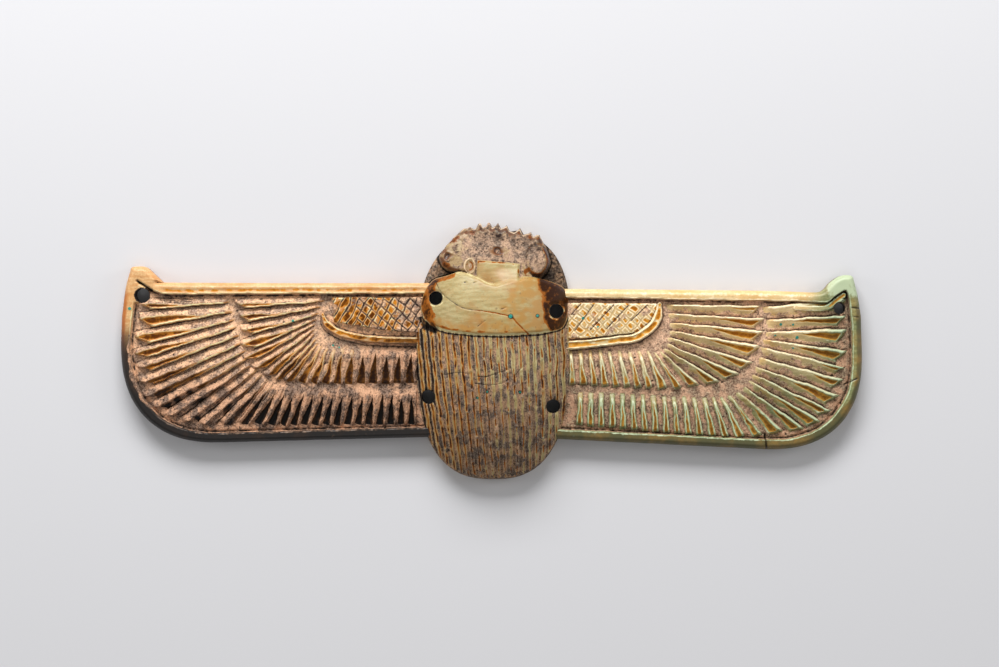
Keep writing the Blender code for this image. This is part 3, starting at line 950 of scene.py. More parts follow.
    def carve_rim(self, relief: Relief, out: Array, up: Array, steady: dict[str, Array]) -> None:
        """Round the rim's outer edge, lay a trough of thin glaze inside a pale lip, paint a highlight along
        the top, and stain and shade the outer edge.

        Args:
            relief: The relief so far.
            out: Places outwards.
            up: Places upwards.
            steady: The distances that measure() gives.
        """
        edge, from_field = steady["edge"], -steady["field"]
        fall = (1.0 - slope(0.0, self.edge_round, edge)) ** 2.2
        lying = ramp(*self.rim_top, up) * ramp(*self.rim_before_tip, out)
        trough = bell(from_field, *self.trough_place) * ramp(0.2, 0.9, edge) * blend(0.25, 1.0, lying)
        relief.height -= self.edge_fall * fall + self.trough * trough
        grain = Grain(self.seed + 8)
        uneven = grain.at(out, up, 1.3) + 0.5 * grain.at(out, up, 4.0)
        relief.mark("pool", self.rim_pool * trough * ramp(-0.9, 0.35, uneven))
        far = relief.masks["zone"] * self.crusted_far
        pale = 0.70 * bell(from_field, 0.10, 0.16) * (1.0 - 0.3 * far) * (1.0 - self.plateau(out, up))
        # A painted highlight along the top of the rim, in the pale edge colour.
        pale += self.rim_top_highlight * bell(edge, 0.80, 0.5) * lying
        at_tip = self.tip_pale * ramp(*self.tip_up, up) * ramp(*self.tip_out, out)
        relief.mark("edge", np.maximum(pale, at_tip))
        # Stain on the rim's outer edge, stronger down the sides and lower down: partly the glaze's own brown,
        # partly painted shade where the edge rounds away.
        at_side = np.maximum(ramp(*self.rim_side, up), 0.0)
        low = ramp(*self.rim_low, up)
        relief.mark("stain", ramp(self.rim_stain_and_shade[0] + 0.9 * low, self.rim_stain_and_shade[1] + 0.9 * low, edge)
                    * blend(0.22, 1.0, at_side))
        spill = far * ramp(*self.spill_up, up) * ramp(0.80, 0.30, from_field + 0.30 * grain.at(out, up, 1.6))
        relief.mark("crust", 0.85 * spill)
        relief.clear("stain", 0.8 * spill)

    def plateau(self, out: Array, up: Array) -> Array:
        """Return the share of the smooth level place round the hole at the tip."""
        spot_out, spot_up, size = self.tip_plateau
        return ramp(size, 0.65 * size, np.hypot(out - spot_out, up - spot_up))

    def carve_field(self, relief: Relief, out: Array, up: Array, steady: dict[str, Array]) -> None:
        """Sink the field inside the rim, with a channel along the rim's foot darkened with painted shade.

        Args:
            relief: The relief so far.
            out: Places outwards.
            up: Places upwards.
            steady: The distances that measure() gives.
        """
        inside = steady["field"]
        grain = Grain(self.seed + 2)
        plateau = self.plateau(out, up)
        level = self.field_level + 0.10 * grain.at(out, up, 2.2) + self.plateau_rise * plateau
        groove = bell(inside, *self.foot_groove) * (1.0 - plateau)
        broken = ramp(-0.9, 0.3, grain.at(up, out, 1.3))
        # The channel along the rim's foot is darkened with painted shade.
        relief.lay(ramp(-0.06, 0.24, inside), level - self.foot_groove_depth * groove,
                   crust=1.0 - 0.95 * plateau, groove=0.78 * groove * broken, edge=0.35 * plateau)

    def carve_feathers(self, relief: Relief, out: Array, up: Array, steady: dict[str, Array],
                       row: FeatherRow) -> None:
        """Cut a row of feathers: each has a crest, a trough for the glaze and a slope to the next.

        Args:
            relief: The relief so far.
            out: Places outwards.
            up: Places upwards.
            steady: The distances that measure() gives.
            row: The row's sizes.
        """
        roots, tips = row.lines()
        grain = Grain(row.seed)
        bent_out = out + 0.16 * grain.at(out, up, 3.2) + 0.09 * grain.at(out, up, 1.2)
        bent_up = up + 0.16 * grain.at(up + 50.0, out, 3.2) + 0.09 * grain.at(up, out, 1.2)
        chance = np.random.default_rng(row.seed)
        mottle = grain.at(out + 70.0, up, 1.7)
        far = relief.masks["zone"] * self.crusted_far
        within = ramp(0.05, 0.45, steady["field"])
        for i in range(len(roots) - 1):
            odds = chance.uniform(-1.0, 1.0, 6)
            corners = roots[i], roots[i + 1], tips[i], tips[i + 1]
            feather = self.place_feather((bent_out, bent_up, far, mottle), corners, row.pool_share(i), odds)
            if feather:
                self.carve_feather(relief, within, row, feather)

    @staticmethod
    def place_feather(points: tuple[Array, Array, Array, Array], corners: tuple[Array, Array, Array, Array],
                      pool_share: float, odds: Array) -> Feather | None:
        """Measure where the points near one feather lie on it.

        Args:
            points: Places outwards, places upwards, shares of the far finish, and mottling.
            corners: The upper and lower roots, then the upper and lower tips.
            pool_share: How much of a full pool of glaze the feather has.
            odds: Hand-made differences, each -1 to 1.

        Returns:
            The feather, or None where no point is near it.
        """
        out, up, far, mottle = points
        upper_root, lower_root, upper_tip, lower_tip = corners
        gaps = []
        for root, tip in ((upper_root, upper_tip), (lower_root, lower_tip)):
            run = (tip - root) / np.hypot(*(tip - root))
            gaps.append((out - root[0]) * run[1] - (up - root[1]) * run[0])
        upper_gap, lower_gap = gaps[0], -gaps[1]
        middle_root, middle_tip = 0.5 * (upper_root + lower_root), 0.5 * (upper_tip + lower_tip)
        length = float(np.hypot(*(middle_tip - middle_root)))
        run = (middle_tip - middle_root) / length
        along = (out - middle_root[0]) * run[0] + (up - middle_root[1]) * run[1]
        near = (upper_gap > 0.0) & (lower_gap >= 0.0) & (along > -1.0) & (along < length + 2.8)
        if not near.any():
            return None
        width = upper_gap[near] + lower_gap[near]
        return Feather(near=near, across=upper_gap[near] / width, along=along[near], width=width,
                       far=far[near], mottle=mottle[near], length=length, pool_share=pool_share,
                       lying=float(ramp(0.45, 0.85, np.array(abs(run[0])))), odds=odds)

    def cut_feather(self, row: FeatherRow, feather: Feather, share: Array, grown: Array) -> FeatherCut:
        """Work out where across a feather its bar and its pool of glaze lie.

        Args:
            row: The row's sizes.
            feather: The feather.
            share: Each point's share of the way from root to tip.
            grown: How far the pool has grown there.

        Returns:
            The places, between those of a standing and a lying feather.
        """
        far, odds = feather.far, feather.odds
        pool = row.pool_width * min(feather.pool_share + 0.25, 1.2) * (1.0 + 0.15 * odds[1]) * grown
        fill = blend(row.fill_root, row.fill_tip, share ** 1.2) * (1.0 + 0.06 * odds[2]) + 0.22 * far * share
        fill = np.minimum(fill, 0.94 + 0.12 * far)
        half, inner = 0.5 * fill, 0.5 * np.maximum(fill - blend(row.core_trim, 0.04, far), 0.02) * grown
        start = 0.82 - pool * (1.0 - 0.50 * far)
        standing = (0.45 - half, 0.56 - half, 0.44 + half, 0.55 + half, 0.5 - inner, 0.5 + inner)
        if self.crest is Crest.UPPER:
            lying = (0.02, 0.10, 0.17, 0.98, 0.24, 0.24 + pool)
        else:
            lying = (0.08, start - 0.06, 0.92, 0.985, start, 0.82 + 0.18 * far)
        return FeatherCut(*(blend(a, b, feather.lying) for a, b in zip(standing, lying)), side_start=start)

    def carve_feather(self, relief: Relief, within: Array, row: FeatherRow, feather: Feather) -> None:
        """Cut one feather and lay it on the wing.

        Args:
            relief: The wing's relief so far.
            within: How far each point is inside the field.
            row: The row's sizes.
            feather: The feather.
        """
        across, along, width, length = feather.across, feather.along, feather.width, feather.length
        lying, far, odds = feather.lying, feather.far, feather.odds
        upper = self.crest is Crest.UPPER
        shift = -row.slant * slope(0.0, 0.72, across) if upper else row.slant * slope(0.86, 0.42, across)
        to_tip = length + shift * lying - along
        share = np.clip(along / length, 0.0, 1.0)
        late = 0.20 + 0.45 * max(1.0 - feather.pool_share, 0.0) + 0.10 * odds[0] - 0.22 * (1.0 - lying)
        grown = ramp(late, blend(row.full_at, 0.97, lying), share)
        cut = self.cut_feather(row, feather, share, grown)

        # Height: the bar, its domed neighbours and the hollow that holds the glaze
        bar = slope(cut.rise_low, cut.rise_high, across) * (1.0 - slope(cut.fall_low, cut.fall_high, across))
        ends = slope(0.0, 0.5, to_tip) * ramp(-0.6, 1.6, along)
        dome = np.maximum(1.0 - (across / np.maximum(cut.rise_high, 0.02)) ** 2, 0.0) \
            + np.maximum(1.0 - ((1.0 - across) / np.maximum(1.0 - cut.fall_low, 0.02)) ** 2, 0.0)
        between = (blend(0.45, 1.15, far) if self.crusted_far else 0.42) * (1.0 - lying)
        rise = row.rise * (1.0 + 0.10 * odds[3])
        height = rise * (bar * (1.0 - 0.35 * far * (1.0 - lying)) + between * dome * (1.0 - bar))
        middle = 0.5 * (cut.pool_low + cut.pool_high)
        half_pool = np.maximum(0.5 * (cut.pool_high - cut.pool_low), 0.01)
        hollow = np.sqrt(np.maximum(1.0 - ((across - middle) / half_pool) ** 2, 0.0))
        hollow = hollow * slope(0.40 - 0.32 * far, 0.80 - 0.42 * far, to_tip + 0.25 * (1.0 - lying))
        if not upper:
            # In the far zone the open side of a lying feather's hollow takes the near-black deep pool: dark
            # glaze, partly painted shade under the crest.
            open_side = far * lying * slope(cut.side_start - 0.02, cut.side_start + 0.10, across)
            open_side = open_side * slope(0.1, 0.5, to_tip)
            hollow = np.maximum(hollow, open_side * slope(0.0, 0.35, grown))
        height -= (0.30 + 0.08 * odds[4] + 0.40 * far) * hollow * slope(0.0, 0.6, 2.0 * half_pool * width)

        # Finish: pale crests, crust beside the bar, painted shade at its borders and past its tip, glaze in
        # the hollow
        dry = lying * far * ramp(0.45, -0.45, feather.mottle + 0.4 * odds[5])
        crests, slope_crust, slope_stain_and_shade = self.feather_slopes(feather, cut, grown)
        crests = np.maximum(crests, (0.2 + 0.4 * lying) * bell(to_tip, 0.5, 0.18) * (bar > 0.3))
        crests = crests * ramp(0.0, 1.5, along)
        outside = 1.0 - slope(0.25, 0.75, bar)
        crust = blend(outside, np.maximum(outside * (across < 0.5), slope_crust), lying)
        crust = np.maximum(crust, far * 0.95) * (1.0 - (0.9 - 0.5 * dry) * hollow)
        # Dark lines at the feather's borders, past its tip and beside a standing bar: painted shade under the
        # crests.
        border_shade = np.maximum(bell(across, 0.0, 0.05), bell(across, 1.0, 0.045)) * lying
        border_shade = np.maximum(border_shade, 0.75 * bell(to_tip, -0.14, 0.24))
        borders = np.maximum(bell(across, cut.rise_low, 0.05), bell(across, cut.fall_high, 0.05))
        border_shade = np.maximum(border_shade, 0.5 * (1.0 - lying) * borders)
        border_shade *= (1.0 - 0.6 * hollow) * (1.0 - 0.75 * far)
        wide = ramp(-1.0, 0.1, feather.mottle + 0.5 * odds[5]) * (1.0 - lying) + lying
        # The far zone's hollows take the deep pool colour: partly dark glaze, partly painted shade.
        glaze_and_shade = np.maximum(0.95 * hollow * ramp(0.02, 0.4, grown) * wide, far * hollow) * (1.0 - 0.62 * dry)
        values = {"height": self.field_level + height * ends - 0.18 * border_shade, "pool": glaze_and_shade, "crust": crust,
                  "edge": crests * (1.0 - 0.97 * far), "groove": border_shade, "stain": slope_stain_and_shade * lying,
                  "cover": within[feather.near] * ramp(-0.30, 0.05, to_tip) * ramp(-0.9, 0.2, along)}
        full = {name: np.zeros(within.shape) for name in values}
        for name, part in values.items():
            full[name][feather.near] = part
        relief.lay(**full)

    def feather_slopes(self, feather: Feather, cut: FeatherCut, grown: Array) -> tuple[Array, Array, Array]:
        """Return a feather's pale crests, and the crust and the stain on a lying feather's slope; on the
        right wing the stain is painted shade.

        Args:
            feather: The feather.
            cut: Where its bar and its pool lie.
            grown: How far the pool has grown at each point.

        Returns:
            The masks of the crests, the crust and the stain, which on the right wing is painted shade.
        """
        across, low, high = feather.across, cut.pool_low, cut.pool_high
        if self.crest is Crest.UPPER:
            # The pale upper crest of a right-wing feather is partly worn thin glaze and partly a painted
            # highlight where it faces the light.
            lying_crests = np.maximum(bell(across, 0.13, 0.085),
                                      0.55 * bell(across, high + 0.05, 0.04) * grown)
            standing_crests = np.maximum(bell(across, low - 0.05, 0.06), bell(across, high + 0.05, 0.05))
            crests = blend(standing_crests, lying_crests, feather.lying)
            crust = 0.44 * ramp(high + 0.08, high + 0.34, across) + 0.56 * ramp(0.70, 0.94, across)
            crust = crust + 0.50 * ramp(0.0, 0.7, feather.mottle) * ramp(0.20, 0.36, across)
            # The stain on the lower part of a right-wing feather is painted shade on the slope that falls
            # away below the crest.
            return crests, crust, 0.40 * ramp(0.24, 0.60, across)
        crests = np.maximum(bell(across, high + 0.05, 0.045), 0.6 * bell(across, low - 0.05, 0.045))
        crust = 1.0 - 0.45 * ramp(low - 0.22, low - 0.05, across)
        crust = crust * (1.0 - ramp(low - 0.06, low - 0.02, across))
        return crests, crust, 0.4 * ramp(0.3, 0.7, across)

    def carve_scales(self, relief: Relief, out: Array, up: Array, steady: dict[str, Array]) -> None:
        """Raise the scale field at the root and score it with crossed lines.

        Args:
            relief: The relief so far.
            out: Places outwards.
            up: Places upwards.
            steady: The distances that measure() gives.
        """
        inside = steady["scales"]
        grain = Grain(self.seed + 4)
        x = self.side * out + 0.42 * grain.at(out, up, 2.2)
        nearest = np.full(out.shape, np.inf)
        for angle, pitch, limit in self.scale_lines:
            turn = math.radians(angle)
            phase = (-x * math.sin(turn) + up * math.cos(turn)) / pitch
            gap = np.abs(phase - np.round(phase)) * pitch
            nearest = np.minimum(nearest, np.where(out < limit, gap, np.inf))
        score = bell(nearest, 0.0, 0.15) * ramp(-0.9, 0.0, grain.at(up, out, 2.0))
        near_root = self.crusted_far * ramp(*self.scales_root, out)
        patch = ramp(*self.patch_inset, nearest) * ramp(*self.patch_cover, grain.at(out + 9.0, up, 1.4))
        patch *= 1.0 - 0.8 * near_root * ramp(*self.scales_low, up + 1.2 * grain.at(up, out, 2.0))
        level = self.field_level + self.scale_rise - self.score_depth * score - 0.14 * patch
        lip = bell(inside, 0.22, 0.22)
        crust = 0.20 + 0.35 * ramp(-0.2, 0.6, grain.at(out, up, 2.7)) + 0.40 * near_root * (1.0 - patch)
        # The scored lines are darkened with painted shade.
        relief.lay(ramp(-0.10, 0.22, inside), level, pool=0.90 * patch, crust=crust, stain=0.5,
                   groove=self.score_shade * np.maximum(score, bell(nearest, 0.0, 0.20)),
                   edge=np.maximum(0.75 * bell(nearest, 0.27, 0.13), 0.7 * lip))
        # The scratches are cut and darkened with painted shade.
        for start, end, width, depth in self.scratches:
            gap, _ = path_distance(out, up, np.array([start, end]))
            relief.cut(depth * bell(gap, 0.0, width), 0.85 * bell(gap, 0.0, 1.1 * width))

    def carve_band(self, relief: Relief, out: Array, up: Array, steady: dict[str, Array]) -> None:
        """Raise the band under the scales, with glaze pooled along its middle.

        Args:
            relief: The relief so far.
            out: Places outwards.
            up: Places upwards.
            steady: The distances that measure() gives.
        """
        grow = ramp(0.0, 0.12, steady["band_along"])
        half = self.band_half_width * blend(0.45, 1.0, grow)
        place = steady["band"] / half
        gap = np.abs(place)
        profile = 1.0 - slope(0.78, 1.12, gap)
        middle = -0.25 * self.band_skew
        core = np.sqrt(np.maximum(1.0 - ((place - middle) / 0.58) ** 2, 0.0))
        uneven = ramp(-0.9, 0.2, Grain(self.seed + 5).at(out, 2.0 * up, 1.8))
        lower = self.band_skew * ramp(0.1, 0.9, place)
        # A dark line beside the band: a shallow cut with painted shade.
        border_shade = bell(gap, 1.25, 0.20)
        relief.cut(0.14 * border_shade, 0.8 * border_shade * ramp(2.5, 1.0, gap))
        level = self.field_level + self.band_rise - 0.22 * core - 0.55 * lower
        bright = bell(place, -0.78, 0.17) + (1.0 - 0.75 * self.band_skew) * bell(place, 0.78, 0.17)
        relief.lay(ramp(0.0, 0.6, profile), level * profile + relief.height * (1.0 - profile),
                   pool=0.80 * core * uneven, edge=np.maximum(0.95 * bright, 0.5 * core * (1.0 - uneven)),
                   crust=0.7 * lower, stain=lower)

    def carve_tip_bar(self, relief: Relief, out: Array, up: Array) -> None:
        """Raise the bar that runs up into the wing's tip, with glaze in its upper half.

        Args:
            relief: The relief so far.
            out: Places outwards.
            up: Places upwards.
        """
        gap, along = path_distance(out, up, catmull(self.tip_bar))
        gap = np.abs(gap) / self.tip_bar_half_width
        core = bell(gap, 0.0, 0.5) * ramp(0.55, 0.75, along)
        relief.lay(1.0 - slope(0.8, 1.15, gap), self.field_level + self.tip_bar_rise - 0.15 * core,
                   edge=0.8 * bell(gap, 0.8, 0.3), pool=0.8 * core)
        # Painted shade along the bar's sides.
        relief.mark("groove", 0.7 * bell(gap, 1.45, 0.28) * ramp(0.3, 0.5, along))

    def weather(self, relief: Relief, out: Array, up: Array) -> None:
        """Add grit to the crust, pits darkened with painted shade, an uneven hand-cut surface and green
        specks.

        Args:
            relief: The relief so far.
            out: Places outwards.
            up: Places upwards.
        """
        grain = Grain(self.seed + 6)
        crust = relief.masks["crust"]
        relief.height += crust * (0.032 * grain.at(out, up, 0.5) + 0.040 * grain.at(up, out, 1.0)
                                  + 0.050 * grain.at(out, up, 2.4))
        relief.height += 0.035 * grain.at(out, up, 6.0) + 0.016 * grain.at(out, up, 1.5)
        # Pits in the crust, cut and darkened with painted shade.
        pits = ramp(0.62, 0.85, grain.at(out + 31.0, up, 0.9)) * crust
        relief.cut(0.14 * pits, 0.9 * pits)
        self.set_specks(relief, out, up, self.speck_rise)


@dataclass(kw_only=True)
class Beetle(Carving):
    """The beetle on its oval base. Places on it are in plan, in millimetres."""

    grid: float = 0.135
    half_width: float = 15.2
    half_length: float = 25.3
    front_length: float = 23.0
    offset: float = 0.3
    base_level: float = 3.0
    base_squareness: float = 2.6
    front_squareness: float = 2.8
    outline_steps: int = 260
    lean: float = -3.4
    lean_start: float = 3.3
    back_top: float = 12.5
    back_peak: float = 2.0
    back_squareness: float = 2.8
    back_front_reach: float = 21.0
    cases_inset: float = 0.05
    cases_start: float = 5.06
    ridges: int = 28
    ridge_spread: float = 19.76
    ridge_converge: float = 0.16
    ridge_lean: float = 3.6
    ridge_depth: float = 0.55
    shield_rise: float = 0.29
    shield_outline: tuple[Pair, ...]
    head_side_left: tuple[Pair, ...]
    head_side_right: tuple[Pair, ...]
    head_teeth: tuple[Pair, ...]
    head_top: float = 9.2
    head_front: float = 5.6
    head_crown: float = 1.6
    head_neck: float = 12.9
    clypeus_front: float = 24.6
    eye: Oval = (9.0, 17.3, 2.2, 3.0)
    pits: tuple[Oval, ...] = ((1.3, 19.4, 0.9, 0.7), (-8.5, 18.4, 0.65, 0.6))
    browned: tuple[Oval, ...] = ((6.9, 15.2, 0.8, 1.1), (-9.0, 16.5, 1.3, 0.6),
                                 (-7.6, 21.3, 1.2, 0.7), (9.3, 21.3, 0.7, 0.9))
    loop: Oval = (-4.2, 16.3, 1.0, 1.35)
    neck_plate: tuple[Pair, ...] = ((-2.9, 11.0), (5.3, 10.5), (5.6, 16.8), (-2.8, 17.5))
    notch: tuple[Pair, ...] = ((-14.2, 5.0), (-12.8, 4.5), (-11.0, 3.9))
    cracks: tuple[tuple[tuple[Pair, ...], float, float], ...]
    speck_rise: float = 0.10
    seed: int = 71

    # Where a mask starts and is full: the first place has none of it, the second all
    base_right: Pair = (-4.0, 8.0)
    cases_left: Pair = (4.0, -12.0)
    cases_far_left: Pair = (-8.0, -13.0)
    cases_low: Pair = (-3.0, -14.0)
    cases_middle: Pair = (11.0, 5.0)
    cheek_left: Pair = (-4.0, -7.0)
    teeth_up: Pair = (20.6, 22.0)
    brow_right: Pair = (4.0, 8.0)
    brow_up: Pair = (17.5, 20.0)
    head_end: Pair = (19.5, 22.5)
    neck_merge_up: Pair = (16.2, 12.8)
    neck_merge_right: Pair = (-0.8, 2.4)
    neck_right: Pair = (3.4, 4.8)
    neck_up: Pair = (16.4, 17.0)
    joined_left: Pair = (0.2, 2.4)
    joined_right: Pair = (6.6, 5.4)
    joined_up: Pair = (9.0, 12.0)
    soft_right: Pair = (-6.5, -4.0)
    soft_up: Pair = (12.0, 13.0)
    ochre_right: Pair = (-6.0, 9.0)
    ochre_rear: Pair = (8.5, 4.0)
    shield_rear: Pair = (9.0, 6.0)
    brown_right: Pair = (9.2, 10.8)
    brown_rear: Pair = (2.5, 4.5)
    brown_left: Pair = (-10.0, -11.6)
    brown_front_left: Pair = (-5.5, -8.5)
    brown_front: Pair = (10.0, 12.0)
    zone_front: Pair = (12.6, 14.0)

    def oval(self, inset: float = 0.0) -> Array:
        """Return the base's squared oval, a given way inside its edge; its front leans.

        Args:
            inset: How far inside the edge it runs.

        Returns:
            The oval's points in plan, one row each.
        """
        angles = np.linspace(0.0, 2.0 * math.pi, self.outline_steps, endpoint=False)
        c, s = np.cos(angles), np.sin(angles)
        power = 2.0 / np.where(s > 0.0, self.front_squareness, self.base_squareness)
        length = np.where(s > 0.0, self.front_length, self.half_length) - inset
        x = self.offset + (self.half_width - inset) * np.sign(c) * np.abs(c) ** power
        y = length * np.sign(s) * np.abs(s) ** power
        lean = math.tan(math.radians(-self.lean)) * np.maximum(y - self.lean_start, 0.0)
        return np.column_stack([x + 0.8 * lean, y])

    def turned(self, points: Array) -> Array:
        """Turn places in plan back by the lean of the beetle's front part.

        Args:
            points: The places, one row each.

        Returns:
            The turned places.
        """
        angle = math.radians(-self.lean)
        hinge = np.array([self.offset, self.lean_start])
        spin = np.array([[math.cos(angle), math.sin(angle)], [-math.sin(angle), math.cos(angle)]])
        return (points - hinge) @ spin + hinge

    def head_outline(self) -> Array:
        """Return the head's outline: cheeks, and the teeth along its front edge.

        Returns:
            The outline's points in plan, one row each.
        """
        right = catmull(self.head_side_right, 5)
        left = catmull(self.head_side_left, 5)
        return np.vstack([right, np.array(self.head_teeth), left])

    def outline(self) -> Array:
        """Return the trimming outline: the base's oval with the head's teeth beyond it.

        Returns:
            The outline's points in plan, one row each.
        """
        oval, head = self.oval(), self.head_outline()
        keep = inside_distance(oval[:, 0], oval[:, 1], head) < 0.05
        beyond = inside_distance(head[:, 0], head[:, 1], oval) < -0.05
        points = np.vstack([oval[keep], head[beyond]])
        return points[np.argsort(np.arctan2(points[:, 1], points[:, 0]))]

    def holes(self) -> Iterable[Spot]:
        """Return the four holes round the beetle."""
        return SEWING_HOLES

    def measure(self, x: Array, y: Array) -> dict[str, Array]:
        """Return the distances to the base's edge, the wing cases, the shield and the head.

        Args:
            x: Places across.
            y: Places up.

        Returns:
            The distances by name.
        """
        grain = Grain(self.seed)
        waves = (0.12, 5.0), (0.06, 1.4)
        bent = np.column_stack([grain.bend(x, y, *waves), grain.bend(y, x, *waves)])
        front = self.turned(bent) - np.array([self.offset, 0.0])
        shield = catmull(self.shield_outline + self.shield_outline[:1], 5)[:-1]
        return {"edge": inside_distance(x, y, self.outline()),
                "cases": inside_distance(x, y, self.oval(self.cases_inset)),
                "shield": inside_distance(bent[:, 0], bent[:, 1], shield),
                "head": inside_distance(bent[:, 0], bent[:, 1], self.head_outline()),
                "neck": inside_distance(bent[:, 0], bent[:, 1], np.array(self.neck_plate)),
                "front_x": front[:, 0], "front_y": front[:, 1]}

    def back(self, x: Array, y: Array) -> Array:
        """Return the height of the smooth back, as the solid has it.

        Args:
            x: Places across.
            y: Places up.

        Returns:
            The heights above the back face, in millimetres.
        """
        reach = np.where(y < self.back_peak, self.half_length + self.back_peak, self.back_front_reach)
        across = (np.abs(x - self.offset) / self.half_width) ** self.back_squareness
        along = (np.abs(y - self.back_peak) / reach) ** self.back_squareness
        return self.base_level + (self.back_top - self.base_level) * (1.0 - across - along)

    def relief(self, x: Array, y: Array, steady: dict[str, Array]) -> Relief:
        """Return the beetle's relief: base, wing cases, shield and head.

        Args:
            x: Places across.
            y: Places up.
            steady: The distances that measure() gives.

        Returns:
            The relief at each place.
        """
        relief = Relief(np.full(x.shape, self.base_level))
        self.carve_base(relief, x, steady)
        self.carve_cases(relief, x, y, steady)
        self.carve_head(relief, x, y, steady)
        self.carve_shield(relief, x, y, steady)
        self.carve_marks(relief, x, y)
        self.weather(relief, x, y, steady)
        return relief

    def carve_base(self, relief: Relief, x: Array, steady: dict[str, Array]) -> None:
        """Round the base's edge, crust the base and paint shade over it, more to the right.

        Args:
            relief: The relief so far.
            x: Places across.
            y: Places up.
            steady: The distances that measure() gives.
        """
        relief.height -= 0.8 * (1.0 - slope(0.0, 0.9, steady["edge"])) ** 2.0
        relief.mark("crust", 0.85 * np.ones_like(x))
        # The low base beside the beetle is darkened with painted shade, more to the right.
        relief.mark("groove", blend(0.40, 0.56, ramp(*self.base_right, x)))

    def carve_cases(self, relief: Relief, x: Array, y: Array, steady: dict[str, Array]) -> None:
        """Cut the wing cases: ridges with a thin line of glaze down each.

        Args:
            relief: The relief so far.
            x: Places across.
            y: Places up.
            steady: The distances that measure() gives.
        """
        grain = Grain(self.seed + 1)
        wavy = x + 0.16 * grain.at(x, y, 3.5) + 0.10 * grain.at(x, 0.5 * y, 0.9)
        share = np.clip((self.cases_start - y) / (self.cases_start + self.half_length), 0.0, 1.0)
        width = self.ridge_spread * (1.0 - self.ridge_converge * share * share)
        shifted = wavy - self.offset - math.tan(math.radians(self.ridge_lean)) * (self.cases_start - y)
        phase = (shifted / width + 1.0) * 0.5 * self.ridges
        number = np.floor(phase).astype(int)
        step = phase - number
        chance = np.random.default_rng(self.seed)
        odds = chance.uniform(-1.0, 1.0, (3, 4 * self.ridges))[:, number + self.ridges]
        patchy = grain.at(x * 1.6, y * 0.45, 1.8)
        bar = slope(0.12, 0.26, step) * (1.0 - slope(0.72, 0.86, step))
        line = bell(step, 0.49 + 0.04 * odds[0], 0.132 + 0.03 * odds[1] + 0.05 * patchy)
        line *= ramp(-0.75, -0.1, grain.at(x + 40.0, 0.6 * y, 0.7))
        left = ramp(*self.cases_left, x)
        worn = ramp(-0.75, 0.45, patchy + 0.35 * odds[2] + 0.45 * left - 0.15)
        low = ramp(*self.cases_low, y + 3.0 * grain.at(x, y, 6.0)) * ramp(*self.cases_middle, np.abs(x - 2.0))
        level = self.back(x, y) - self.ridge_depth * (1.0 - bar) - 0.20 * line
        edge = np.maximum(bell(step, 0.28, 0.065), bell(step, 0.70, 0.065)) * (1.0 - 0.45 * low)
        crust = 0.95 * (1.0 - bar) + bar * (1.0 - 0.6 * line) * (0.38 + 0.30 * low + 0.30 * patchy)
        # Dark lines between the ridges, wider and darker to the far left: painted shade.
        at_left = ramp(*self.cases_far_left, x)
        gap_shade = 0.25 + 0.75 * at_left + 0.30 * ramp(0.0, 0.6, grain.at(x, 0.4 * y, 2.6))
        gap = bell(np.minimum(step, 1.0 - step), 0.0, 0.11 + 0.05 * at_left) * gap_shade
        cover = ramp(-0.05, 0.35, steady["cases"]) * (y < self.cases_start + 1.5)
        relief.lay(cover, np.maximum(level, relief.height), pool=(0.30 + 0.75 * worn) * line,
                   edge=0.60 * edge, crust=crust, groove=gap, stain=0.9 * left * bar)

    def head_height(self, x: Array, y: Array) -> Array:
        """Return the head's height: a slope to the front with a rounded crown.

        Args:
            x: Places across.
            y: Places up.

        Returns:
            The heights above the back face, in millimetres.
        """
        share = np.maximum((y - self.head_neck) / (self.clypeus_front - self.head_neck), 0.0)
        crown = (x / self.half_width) ** 2
        return self.head_top + (self.head_front - self.head_top) * share ** 2 - self.head_crown * crown

    def carve_head(self, relief: Relief, x: Array, y: Array, steady: dict[str, Array]) -> None:
        """Raise the head, with its toothed front edge, and carve what is on it.

        Args:
            relief: The relief so far.
            x: Places across.
            y: Places up.
            steady: The distances that measure() gives.
        """
        grain = Grain(self.seed + 3)
        inside = steady["head"]
        rounding = 0.9 * (1.0 - slope(0.0, 1.0, inside)) ** 2.0
        level = self.head_height(steady["front_x"], steady["front_y"]) - rounding
        margin = bell(inside, 0.5, 0.55) * (y > 15.0) * ramp(-0.7, 0.5, grain.at(y, x, 1.5))
        bare = ramp(*self.cheek_left, x + 2.0 * grain.at(x, y, 3.0)) * ramp(-0.5, 0.3, grain.at(y, x, 1.9))
        at_teeth = 0.75 * bell(inside, 0.9, 0.5) * ramp(*self.teeth_up, y)
        at_teeth = at_teeth * ramp(-0.4, 0.3, grain.at(x, y, 1.6))
        relief.lay(ramp(-0.05, 0.16, inside), level, crust=0.66 - 0.50 * np.maximum(margin, 0.7 * bare),
                   stain=margin, pool=at_teeth, edge=0.9 * bell(inside, 0.12, 0.22) * (y > 21.5))
        # Painted shade: round the head's edge, and in patches over the head, darker towards its front and
        # upper right.
        upper_right = ramp(*self.brow_right, x) * ramp(*self.brow_up, y)
        at_front = ramp(*self.head_end, y + 2.0 * grain.at(x, y, 4.0))
        shade = 0.6 * ramp(0.1, 0.9, grain.at(x, y, 2.6)) + 0.7 * at_front
        shade = np.maximum(shade, 1.1 * upper_right * ramp(-0.6, 0.3, grain.at(y, x, 1.6)))
        relief.mark("groove", np.maximum(0.8 * bell(inside, -0.25, 0.25),
                                         (0.12 + 0.48 * shade) * (inside > 0.2)))
        self.carve_eye(relief, x, y, grain)
        self.carve_brow(relief, x, y, grain)
        self.carve_neck(relief, x, y, steady, grain)

